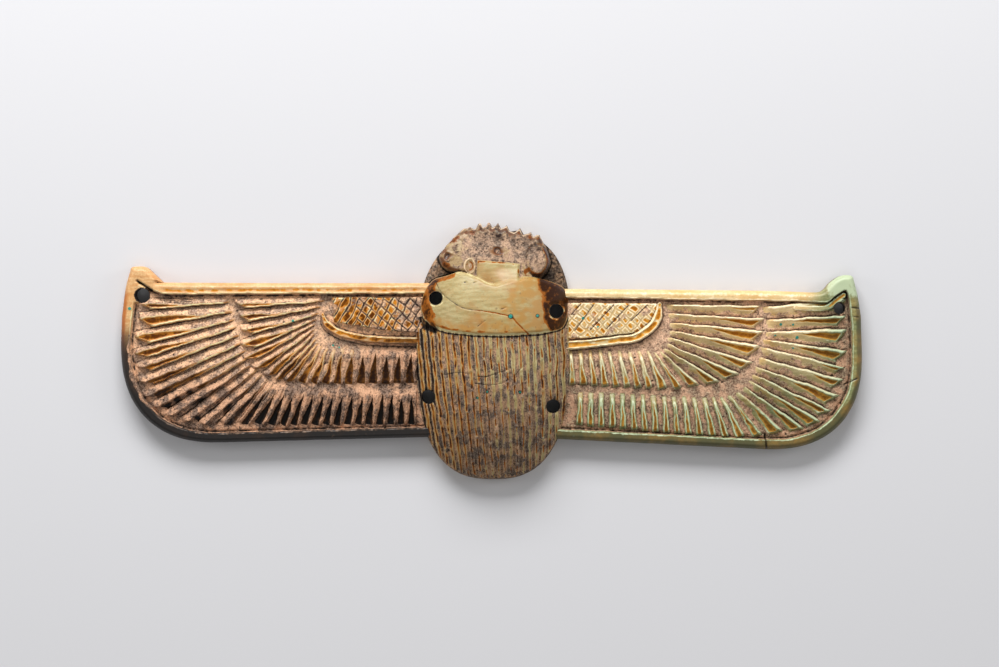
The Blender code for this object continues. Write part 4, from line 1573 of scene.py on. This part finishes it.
    def carve_eye(self, relief: Relief, x: Array, y: Array, grain: Grain) -> None:
        """Raise the eye, with a ring round it and a crescent of glaze on its outer side.

        Args:
            relief: The relief so far.
            x: Places across.
            y: Places up.
            grain: The head's grain.
        """
        eye_x, eye_y, eye_wide, eye_long = self.eye
        radius = np.hypot((x - eye_x) / eye_wide, (y - eye_y) / eye_long)
        relief.height += 0.75 * np.sqrt(np.maximum(1.0 - radius ** 2, 0.0))
        outer_side = ramp(eye_x - 1.2, eye_x + 0.8, x - 0.5 * (y - eye_y))
        ring = bell(radius, 1.04, 0.11) * blend(0.60, 1.0, outer_side)
        crescent = bell(radius, 0.92, 0.14) * outer_side
        # The ring is cut and darkened with painted shade, more on the outer side.
        relief.cut(0.24 * ring, 0.75 * ring)
        spotted = ramp(-0.3, 0.6, grain.at(x, y, 1.2))
        relief.mark("stain", bell(radius, 1.05, 0.25) * spotted)
        relief.clear("crust", 0.6 * bell(radius, 1.05, 0.2) * spotted)
        relief.mark("pool", 0.95 * crescent)
        relief.clear("crust", 0.9 * crescent)

    def carve_brow(self, relief: Relief, x: Array, y: Array, grain: Grain) -> None:
        """Lay the browned spots, and cut the ragged pits in the brow and the cheek.

        Args:
            relief: The relief so far.
            x: Places across.
            y: Places up.
            grain: The head's grain.
        """
        for spot_x, spot_y, wide, long in self.browned:
            spot = bell(np.hypot((x - spot_x) / wide, (y - spot_y) / long), 0.0, 1.0)
            spot *= ramp(-0.9, 0.1, grain.at(x, y, 0.9))
            relief.mark("pool", 0.75 * spot)
            relief.clear("crust", 0.85 * spot)
        for pit_x, pit_y, pit_wide, pit_long in self.pits:
            ragged = 0.75 * grain.at(x, y, 1.3)
            away = np.hypot((x - pit_x) / pit_wide, (y - pit_y) / pit_long) + ragged
            # Each pit is cut and its rim darkened with painted shade.
            relief.cut(0.35 * bell(away, 0.0, 0.9) - 0.14 * bell(away, 1.4, 0.35),
                       0.65 * bell(away, 0.7, 0.35))
            relief.mark("stain", bell(away, 0.6, 0.9))
            relief.clear("crust", 0.85 * bell(away, 0.9, 0.5))

    def carve_neck(self, relief: Relief, x: Array, y: Array, steady: dict[str, Array], grain: Grain) -> None:
        """Raise the plate at the neck, which runs into the shield, and the small loop beside it.

        Args:
            relief: The relief so far.
            x: Places across.
            y: Places up.
            steady: The distances that measure() gives.
            grain: The head's grain.
        """
        plate, merge = steady["neck"], ramp(*self.neck_merge_up, y) * ramp(*self.neck_merge_right, x)
        level = self.head_height(steady["front_x"], steady["front_y"])
        flat = level + 0.50 * slope(-0.05, 0.5, plate) + merge
        broken = ramp(-0.5, 0.5, grain.at(x, y, 1.3))
        border = 0.85 * broken * bell(plate, 0.22, 0.26)
        border = border * np.maximum(ramp(*self.neck_right, x), ramp(*self.neck_up, y)) * (y > 14.0)
        relief.lay(ramp(-0.05, 0.25, plate), flat, edge=0.12, stain=0.05, pool=border)
        # Painted shade along the plate's edge.
        relief.mark("groove", 0.55 * bell(plate, -0.15, 0.16) * (y > 14.8))
        loop_x, loop_y, loop_wide, loop_long = self.loop
        loop = np.hypot((x - loop_x) / loop_wide, (y - loop_y) / loop_long)
        relief.height += 0.22 * bell(loop, 1.0, 0.24)
        relief.mark("edge", 0.8 * bell(loop, 1.0, 0.16) * ramp(-0.6, 0.2, grain.at(x, y, 1.5) + 0.3))
        relief.mark("pool", 0.6 * bell(loop, 0.60, 0.2) * ramp(-5.4, -4.0, x + 0.6 * grain.at(x, y, 1.0)))
        relief.clear("crust", 0.8 * bell(loop, 0.8, 0.4))

    def carve_shield(self, relief: Relief, x: Array, y: Array, steady: dict[str, Array]) -> None:
        """Raise the smooth shield over the wing cases and the head.

        Args:
            relief: The relief so far.
            x: Places across.
            y: Places up.
            steady: The distances that measure() gives.
        """
        grain = Grain(self.seed + 5)
        inside = steady["shield"]
        joined = ramp(*self.joined_left, x) * ramp(*self.joined_right, x) * ramp(*self.joined_up, y)
        rounding = (1.0 - slope(0.0, 0.9, inside)) ** 2.0
        level = self.back(x, y) + self.shield_rise - 0.55 * rounding * (1.0 - joined)
        softer = 1.0 - 0.65 * ramp(*self.soft_right, x) * ramp(*self.soft_up, y)
        # Painted shade just outside the shield's edge, except where it joins the neck.
        relief.mark("groove", 0.9 * bell(inside, -0.16, 0.22) * (1.0 - joined) * softer)
        drift = grain.at(x, y, 4.0)
        ochre = np.maximum(ramp(*self.ochre_right, x + 4.0 * drift) * 0.75,
                           ramp(*self.ochre_rear, y + 2.0 * drift) * 0.75)
        rear = ramp(*self.shield_rear, y)
        lip = bell(inside, 0.22, 0.2)
        patchy = ramp(-0.2, 0.7, grain.at(x, y, 1.6) + 0.1 - 0.04 * x)
        relief.lay(ramp(-0.08, 0.12, inside) * (1.0 - 0.75 * joined * ramp(0.9, 0.0, inside)), level,
                   edge=(0.85 * lip * rear + 0.6 * lip * ramp(2.0, -1.0, x)) * (1.0 - joined),
                   pool=0.66 * bell(inside, 0.75, 0.26) * rear * patchy,
                   stain=ochre * blend(0.6, 1.2, ramp(-0.5, 0.6, grain.at(x, 1.4 * y, 1.6))),
                   crust=0.40 * ochre * ramp(0.0, 0.8, grain.at(x, y, 1.1)))
        right = ramp(*self.brown_right, x + 1.3 * drift + 0.26 * (y - 8.0)) * ramp(*self.brown_rear, y)
        left = np.maximum(ramp(3.0, 1.4, inside + 0.8 * drift) * ramp(*self.brown_left, x),
                          0.9 * ramp(1.3, 0.6, inside) * ramp(*self.brown_front_left, x)
                          * ramp(*self.brown_front, y))
        on_shield = ramp(0.0, 0.25, inside)
        mottle = grain.at(x, y, 1.3)
        relief.mark("pool", on_shield * np.maximum((1.05 + 0.25 * drift + 0.4 * mottle) * right,
                                                   (0.80 + 0.3 * drift + 0.3 * mottle) * left))
        for spot_x, spot_y, radius in SEWING_HOLES[:2]:
            away = np.hypot(x - spot_x, y - spot_y) - radius
            ring = bell(away, 0.26, 0.20) * ramp(-0.3, 0.2, grain.at(x, y, 1.3)) * ramp(1.3, 0.3, y - spot_y)
            relief.mark("edge", 0.9 * ring)
            relief.clear("pool", 0.9 * ring)

    def carve_marks(self, relief: Relief, x: Array, y: Array) -> None:
        """Cut the cracks, scratches and the gap behind the shield, darkened with painted shade, and set beads
        of bright glaze.

        Args:
            relief: The relief so far.
            x: Places across.
            y: Places up.
        """
        for points, width, depth in self.cracks:
            gap, along = path_distance(x, y, catmull(points, 4))
            # Cracks are darkened with painted shade.
            relief.cut(depth * bell(gap, 0.0, width), blend(0.85, 0.42, along) * bell(gap, 0.0, width * 1.1))
            browned = 0.7 * ramp(0.3, 0.6, along) * (len(points) > 6)
            relief.mark("pool", browned * bell(gap, 0.0, width * blend(1.0, 2.0, along)))
        gap, _ = path_distance(x, y, catmull(self.notch, 4))
        # The gap behind the shield is painted dark: a painted shadow.
        relief.cut(1.6 * bell(gap, 0.0, 0.65), bell(gap, 0.0, 0.8))
        self.set_specks(relief, x, y, self.speck_rise)
        for spot_x, spot_y, radius in self.specks:
            # A dark ring of painted shade round each bead.
            relief.mark("groove", 0.8 * bell(np.hypot(x - spot_x, y - spot_y), radius, 0.16))
        for spot_x, spot_y, radius in SEWING_HOLES:
            gap = np.hypot(x - spot_x, y - spot_y) - radius
            relief.height -= 0.25 * bell(gap, 0.0, 0.35)

    def weather(self, relief: Relief, x: Array, y: Array, steady: dict[str, Array]) -> None:
        """Add grit and an uneven surface, and set the zone.

        Args:
            relief: The relief so far.
            x: Places across.
            y: Places up.
            steady: The distances that measure() gives.
        """
        grain = Grain(self.seed + 6)
        crust = relief.masks["crust"]
        relief.height += crust * (0.030 * grain.at(x, y, 0.45) + 0.034 * grain.at(y, x, 0.9)
                                  + 0.050 * grain.at(x, y, 2.2))
        relief.height += 0.05 * grain.at(x, y, 6.0)
        ahead = ramp(*self.zone_front, y) * ramp(0.1, -0.2, steady["shield"])
        ahead = ahead * ramp(0.3, -0.1, steady["neck"])
        relief.masks["zone"] = ahead * ramp(-0.1, 0.1, steady["head"])


LEFT_FINISH = WornGlaze("left_wing_glaze", Palette(
    glaze=((206, 158, 104), (30, 26, 24)),
    streak=((222, 184, 132), (38, 33, 30)),
    stain=((176, 100, 40), (28, 24, 22)),
    edge=((222, 208, 158), (128, 104, 86)),
    pool_thin=((196, 124, 36), (62, 40, 24)),
    pool_deep=((88, 44, 6), (14, 12, 11)),
    crust=((236, 190, 152), (204, 158, 126)),
    crust_grey=((176, 148, 128), (128, 106, 92)),
    crust_dark=((116, 86, 68), (62, 46, 38)),
    groove=((54, 44, 40), (22, 20, 19)),
))


RIGHT_FINISH = WornGlaze("right_wing_glaze", Palette(
    glaze=((214, 184, 130), (112, 120, 78)),
    streak=((230, 204, 156), (144, 148, 102)),
    stain=((180, 148, 96), (82, 80, 49)),
    edge=((250, 230, 190), (174, 187, 152)),
    pool_thin=((214, 150, 52), (172, 126, 52)),
    pool_deep=((158, 92, 18), (112, 74, 22)),
    crust=((232, 190, 158), (186, 146, 118)),
    crust_grey=((182, 152, 128), (150, 128, 106)),
    crust_dark=((128, 96, 78), (92, 70, 56)),
    groove=((80, 62, 52), (54, 44, 34)),
))


BEETLE_FINISH = WornGlaze("beetle_glaze", Palette(
    glaze=((152, 138, 92), (154, 128, 90)),
    streak=((176, 163, 118), (172, 148, 106)),
    stain=((166, 126, 66), (104, 64, 34)),
    edge=((206, 194, 144), (210, 182, 148)),
    pool_thin=((156, 90, 28), (128, 72, 28)),
    pool_deep=((50, 24, 6), (50, 26, 12)),
    crust=((190, 153, 122), (184, 152, 127)),
    crust_grey=((130, 115, 105), (126, 109, 96)),
    crust_dark=((80, 66, 56), (92, 74, 62)),
    groove=((36, 30, 26), (40, 30, 26)),
), grit_size=0.36)


def left_wing() -> Wing:
    """Return the left wing with its sizes as read off the piece."""
    fine_lines = [(start, end, 0.10, 0.08) for start, end in (
        ((65.6, -2.9), (58.5, -3.2)), ((65.0, -3.3), (58.8, -3.7)), ((64.0, -3.7), (58.6, -4.1)))]
    return Wing(
        name="left_wing_carving", finish=LEFT_FINISH, side=-1.0, lead=13.1, chord=31.2,
        root_chord=30.1, crest=Crest.LOWER, seed=11,
        tip=((11.0, 0.0), (40.0, 0.0), (63.6, 0.1), (64.3, 0.2), (65.1, 0.85), (66.4, 2.1), (67.7, 3.15),
             (69.0, 3.25), (70.4, 3.1), (70.75, 2.2), (71.6, -1.1), (72.3, -6.5)),
        field_tip=((11.0, -2.0), (40.0, -2.05), (61.5, -2.1), (65.1, -1.7), (67.1, -0.9), (68.9, 0.3),
                   (69.3, -0.5), (69.8, -2.0), (70.1, -5.7), (70.5, -9.2)),
        hole=(68.3, -2.4, 1.42), tip_plateau=(69.2, -2.0, 2.5),
        outer=FeatherRow((
            (0, (51.8, -2.3), (67.0, -3.0)), (1, (51.5, -4.0), (66.7, -5.3)),
            (2, (51.1, -5.9), (67.3, -8.9)), (3, (50.7, -7.5), (67.9, -12.2)),
            (4, (50.2, -9.0), (67.9, -14.8)), (5, (49.6, -10.5), (66.9, -17.3)),
            (6, (49.0, -12.1), (67.2, -20.5)), (8, (47.6, -14.9), (63.4, -24.6)),
            (10, (45.8, -17.2), (57.0, -26.8)), (12, (43.6, -19.3), (49.6, -27.3)),
            (15, (39.2, -20.5), (41.9, -27.8)), (28, (14.6, -21.1), (14.6, -27.7)),
        ), rise=0.95, slant=2.0, fill_root=0.40, fill_tip=0.64, pool_width=0.40, seed=21,
            pools=(0.45, 1.1, 1.1, 0.9, 0.5, 0.6, 0.9, 0.9), full_at=0.70),
        inner=FeatherRow((
            (0, (32.6, -2.4), (48.8, -2.5)), (1, (33.4, -3.7), (48.0, -5.0)),
            (2, (34.0, -5.0), (47.4, -7.6)), (3, (34.4, -6.3), (46.9, -10.3)),
            (4, (34.7, -7.4), (46.9, -13.2)), (5, (34.9, -8.4), (46.0, -15.1)),
            (7, (34.9, -10.5), (42.1, -18.0)), (9, (34.0, -12.5), (38.6, -19.3)),
            (11, (31.6, -13.1), (33.6, -19.7)), (13, (28.4, -13.2), (29.2, -19.8)),
            (19, (14.6, -13.2), (14.8, -19.6)),
        ), rise=1.05, slant=2.0, fill_root=0.42, fill_tip=0.66, pool_width=0.40, seed=22,
            pools=(0.3, 0.45, 0.5, 0.7, 0.9, 0.6, 0.8, 1.0), full_at=0.70),
        scale_outline=((12.0, -2.7), (31.2, -2.7), (30.9, -7.7), (25.0, -8.7), (19.0, -9.5), (12.0, -9.95)),
        scale_lines=((62.0, 1.42, 99.0), (-42.0, 1.62, 26.5)),
        scratches=(((69.2, 0.4), (66.4, -1.4), 0.24, 0.55), *fine_lines),
        band=((33.0, -6.3), (32.2, -8.2), (30.0, -9.8), (26.2, -10.8), (21.4, -11.3), (14.0, -11.5)),
        band_skew=1.0,
        specks=((70.7, -5.0, 0.36), (38.8, -7.4, 0.30), (31.0, -12.2, 0.24), (29.8, -12.6, 0.20)),
        zone_fall=(-11.5, -24.5), zone_rim=(-5.0, -15.0), crusted_far=1.0, rim_stain_and_shade=(1.35, 0.2),
        rim_pool=0.50, rim_top_highlight=0.26,
        patch_inset=(0.15, 0.34), dark_root=(24.0, 38.0, -9.0, -13.5, 0.85))


def right_wing() -> Wing:
    """Return the right wing with its sizes as read off the piece."""
    hatching = [(start, end, 0.13, 0.2) for start, end in (
        ((17.4, -2.9), (15.6, -5.0)), ((20.0, -2.9), (16.3, -8.1)), ((24.0, -2.8), (19.3, -7.9)),
        ((26.9, -2.8), (22.5, -7.6)), ((30.5, -2.8), (27.3, -5.9)))]
    return Wing(
        name="right_wing_carving", finish=RIGHT_FINISH, side=1.0, lead=12.2, tilt=-1.2, chord=30.5,
        root_chord=29.3, crest=Crest.UPPER, trough=0.0, seed=41,
        tip=((11.0, 0.05), (14.3, 0.08), (44.7, 0.44), (55.2, 0.52), (63.4, 0.42), (65.2, 1.15), (66.2, 2.3),
             (67.8, 3.5), (69.1, 3.9), (70.5, 3.8), (70.9, 3.0), (71.75, -0.6), (72.3, -4.3)),
        field_tip=((11.0, -1.6), (15.0, -1.6), (40.0, -1.45), (60.0, -1.35), (64.2, -1.46), (65.9, -1.33),
                   (67.3, -0.1), (69.0, 1.0), (69.5, 0.7), (70.0, -0.8), (70.35, -4.5)),
        hole=(68.1, -2.6, 1.10), tip_plateau=(68.6, -0.9, 0.9),
        outer=FeatherRow((
            (0, (52.8, -2.6), (69.9, -0.4)), (1, (54.2, -5.0), (69.6, -3.8)),
            (2, (54.2, -7.4), (69.7, -6.3)), (3, (53.7, -9.0), (69.6, -10.7)),
            (4, (53.3, -10.5), (69.4, -14.0)), (5, (52.7, -12.5), (69.0, -16.5)),
            (6, (52.2, -14.4), (68.4, -19.5)), (7, (51.6, -15.9), (66.9, -22.7)),
            (8, (50.9, -17.2), (65.4, -25.0)), (9, (49.9, -18.4), (62.6, -26.9)),
            (10, (48.8, -19.4), (58.6, -27.6)), (11, (47.4, -20.2), (53.9, -28.1)),
            (13, (44.4, -20.9), (47.2, -28.4)), (16, (38.8, -20.9), (39.6, -28.0)),
            (27, (16.4, -20.3), (16.2, -26.4)),
        ), rise=0.95, slant=1.9, fill_root=0.46, fill_tip=0.66, pool_width=0.42, seed=31,
            pools=(0.6, 1.0, 1.1, 0.9, 0.2, 0.5, 1.0, 0.75, 1.0, 0.9, 1.1), core_trim=0.32, full_at=0.80),
        inner=FeatherRow((
            (0, (34.2, -2.5), (52.5, -2.3)), (1, (34.9, -4.3), (53.4, -4.8)),
            (2, (35.2, -6.0), (53.6, -7.2)), (3, (35.2, -7.6), (53.0, -10.2)),
            (4, (35.0, -9.0), (51.8, -13.5)), (5, (34.6, -10.2), (50.0, -16.2)),
            (6, (34.4, -11.3), (46.2, -18.0)), (7, (33.7, -12.0), (42.2, -19.0)),
            (8, (32.8, -12.3), (38.0, -19.1)), (9, (31.5, -12.1), (35.2, -19.1)),
            (10, (29.9, -12.1), (31.9, -19.0)), (18, (14.5, -12.2), (14.8, -18.6)),
        ), rise=1.05, slant=1.9, fill_root=0.36, fill_tip=0.64, pool_width=0.40, seed=32,
            pools=(0.2, 1.1, 1.0, 0.8, 0.6, 0.8, 0.8, 0.9)),
        scale_outline=((12.0, -2.6), (32.6, -2.4), (32.2, -6.0), (29.0, -8.2), (22.0, -9.2), (12.0, -9.9)),
        scale_lines=((50.0, 1.75, 99.0), (-40.0, 1.45, 99.0)), score_depth=0.16, score_shade=0.15,
        patch_inset=(0.20, 0.52), patch_cover=(-0.45, 0.35),
        scratches=(*hatching, ((70.4, -2.45), (72.3, -2.6), 0.13, 0.3),
                   ((70.8, -4.2), (71.7, -4.3), 0.12, 0.2), ((69.0, -17.5), (71.4, -16.3), 0.14, 0.25),
                   ((53.5, -27.6), (53.8, -30.4), 0.20, 0.6)),
        band=((32.9, -2.6), (32.6, -5.0), (31.3, -7.0), (28.4, -9.1), (24.9, -9.7), (20.4, -10.4),
              (14.0, -11.1)),
        specks=((56.6, -6.0, 0.32), (59.0, -6.0, 0.26), (59.8, -8.5, 0.36), (59.0, -10.6, 0.22),
                (55.5, -8.2, 0.22), (17.9, -5.6, 0.32), (20.8, -7.2, 0.22)),
        zone_fall=(-5.0, -25.0), zone_rim=(-4.0, -22.0), zone_tip=(58.0, 68.0), rim_pool=0.10,
        rim_stain_and_shade=(1.5, 0.6), tip_pale=0.75,
        tip_bar=((59.5, -2.7), (64.2, -2.75), (66.0, -2.3), (67.4, -1.1), (68.9, 0.0)))


def beetle() -> Beetle:
    """Return the beetle with its sizes as read off the piece."""
    return Beetle(
        name="beetle_carving", finish=BEETLE_FINISH,
        shield_outline=((-13.2, 6.0), (-10.6, 4.1), (-5.4, 3.1), (2.1, 2.7), (8.0, 3.0), (11.1, 3.4),
                        (14.0, 4.5), (15.1, 7.6), (15.0, 10.4), (14.1, 12.0), (12.0, 13.1), (7.8, 14.3),
                        (4.0, 13.9), (0.45, 13.0), (-2.4, 14.1), (-6.0, 15.2), (-9.0, 14.4), (-11.3, 13.7),
                        (-13.0, 11.5), (-13.8, 8.4)),
        head_side_right=((3.0, 12.0), (8.0, 13.4), (10.0, 14.3), (11.1, 15.8), (11.5, 17.3), (11.0, 19.2),
                         (10.1, 21.0)),
        head_teeth=((9.4, 22.5), (8.9, 22.5), (8.2, 22.1), (7.7, 23.1), (7.2, 22.8), (6.2, 22.4), (5.6, 23.9),
                    (5.2, 23.4), (4.4, 22.9), (3.6, 23.2), (3.0, 24.4), (2.6, 24.0), (1.9, 23.7), (1.3, 24.9),
                    (0.9, 24.4), (0.2, 23.9), (-0.3, 24.9), (-0.7, 24.9), (-1.0, 24.2), (-1.7, 23.9),
                    (-2.2, 24.8), (-2.6, 24.7), (-3.0, 23.8), (-3.5, 23.6), (-4.2, 24.1), (-4.7, 23.8),
                    (-5.4, 23.8), (-6.0, 23.3)),
        head_side_left=((-7.2, 22.2), (-9.0, 20.1), (-10.2, 18.3), (-9.9, 16.9), (-8.9, 15.7), (-7.2, 15.0),
                        (-6.0, 14.9), (-4.4, 14.4), (-2.0, 12.0)),
        cracks=(
            (((-10.9, 13.5), (-9.7, 11.2), (-7.3, 9.2), (-5.0, 8.0), (-0.5, 7.4), (3.6, 6.5), (5.0, 5.2),
              (7.1, 3.1)), 0.10, 0.12),
            (((-2.6, -5.0), (-1.0, -5.1), (0.6, -4.6), (2.0, -4.1), (3.3, -3.7)), 0.12, 0.14),
            (((4.4, -5.0), (5.6, -3.6), (6.9, -2.6)), 0.10, 0.12),
            (((-3.2, -6.3), (-0.6, -6.7), (1.8, -6.4), (3.4, -5.7)), 0.12, 0.14),
            (((-9.0, -4.7), (-6.2, -4.3), (-4.2, -4.6)), 0.12, 0.12),
            (((-2.6, 4.6), (-1.2, 5.7)), 0.09, 0.10), (((2.6, 3.6), (2.7, 4.4)), 0.09, 0.10),
            (((-5.2, 13.1), (-4.8, 13.1)), 0.15, 0.10), (((-3.4, 13.0), (-2.9, 13.1)), 0.13, 0.10),
            (((1.9, 7.9), (2.8, 8.2)), 0.13, 0.10),
        ),
        specks=((3.7, 6.55, 0.40), (8.9, 6.65, 0.28), (-0.8, -8.0, 0.20), (5.5, -8.1, 0.22),
                (-2.7, -9.2, 0.20)))


@dataclass(frozen=True)
class Lamp:
    """A soft rectangular light that faces the piece. Its place and size are in metres."""

    name: str
    place: Spot
    size: Pair
    power: float

    def hang(self) -> None:
        """Add the light and aim it at the piece's middle."""
        bpy.ops.object.light_add(type="AREA", location=self.place)
        lamp = bpy.context.object
        lamp.name = self.name
        lamp.data.shape = "RECTANGLE"
        lamp.data.size, lamp.data.size_y = self.size
        lamp.data.energy = self.power
        lamp.rotation_euler = (-lamp.location).to_track_quat("-Z", "Y").to_euler()


@dataclass(frozen=True)
class Studio:
    """A pale floor, soft light and the camera, straight above the piece as it lies."""

    frame_width: float = 195.5
    centre: Pair = (1.57, 3.23)
    face_level: float = 3.0
    lens: float = 100.0
    sensor: float = 36.0
    floor_size: float = 3.0
    floor_drop: float = 0.02
    floor_colour: Colour = (204, 204, 207)
    floor_roughness: float = 0.7
    sky_colour: tuple[float, float, float, float] = (0.94, 0.93, 0.91, 1.0)
    sky_strength: float = 0.30
    lamps: tuple[Lamp, ...] = (
        Lamp("key", (-0.06, 0.46, 0.30), (0.42, 0.20), 4.6),
        Lamp("left_fill", (-0.50, 0.10, 0.28), (0.20, 0.25), 0.45),
        Lamp("right_fill", (0.50, 0.15, 0.28), (0.20, 0.25), 0.60),
        Lamp("front_fill", (0.0, -0.30, 0.60), (0.40, 0.25), 0.40))

    def camera(self) -> None:
        """Set the camera at the photograph's angle and framing."""
        distance = self.frame_width * self.lens / self.sensor
        bpy.ops.object.camera_add(location=(self.centre[0] * MM, self.centre[1] * MM,
                                            (self.face_level + distance) * MM), rotation=(0.0, 0.0, 0.0))
        camera = bpy.context.object
        camera.data.lens = self.lens
        camera.data.sensor_width = self.sensor
        camera.data.clip_start = 0.01
        bpy.context.scene.camera = camera

    def floor(self) -> None:
        """Lay the plain floor."""
        deselect()
        bpy.ops.mesh.primitive_plane_add(size=self.floor_size, location=(0.0, 0.0, -self.floor_drop * MM))
        floor = bpy.context.object
        floor.name = "studio_floor"
        bench = NodeBench("pale_floor")
        bench.shader.inputs["Base Color"].default_value = linear(self.floor_colour)
        bench.shader.inputs["Roughness"].default_value = self.floor_roughness
        floor.data.materials.append(bench.material)

    def light(self) -> None:
        """Set a large key light above the head, a weak fill at each side and a pale sky."""
        for lamp in self.lamps:
            lamp.hang()
        scene = bpy.context.scene
        scene.world = scene.world or bpy.data.worlds.new("sky")
        scene.world.use_nodes = True
        background = scene.world.node_tree.nodes["Background"]
        background.inputs["Color"].default_value = self.sky_colour
        background.inputs["Strength"].default_value = self.sky_strength
        scene.view_settings.view_transform = "Standard"


def main() -> None:
    """Set the camera, build the pieces in order, then the floor and the light."""
    studio = Studio()
    studio.camera()
    for piece in (left_wing(), right_wing(), beetle()):
        piece.build()
    studio.floor()
    studio.light()


if __name__ == "__main__":
    main()
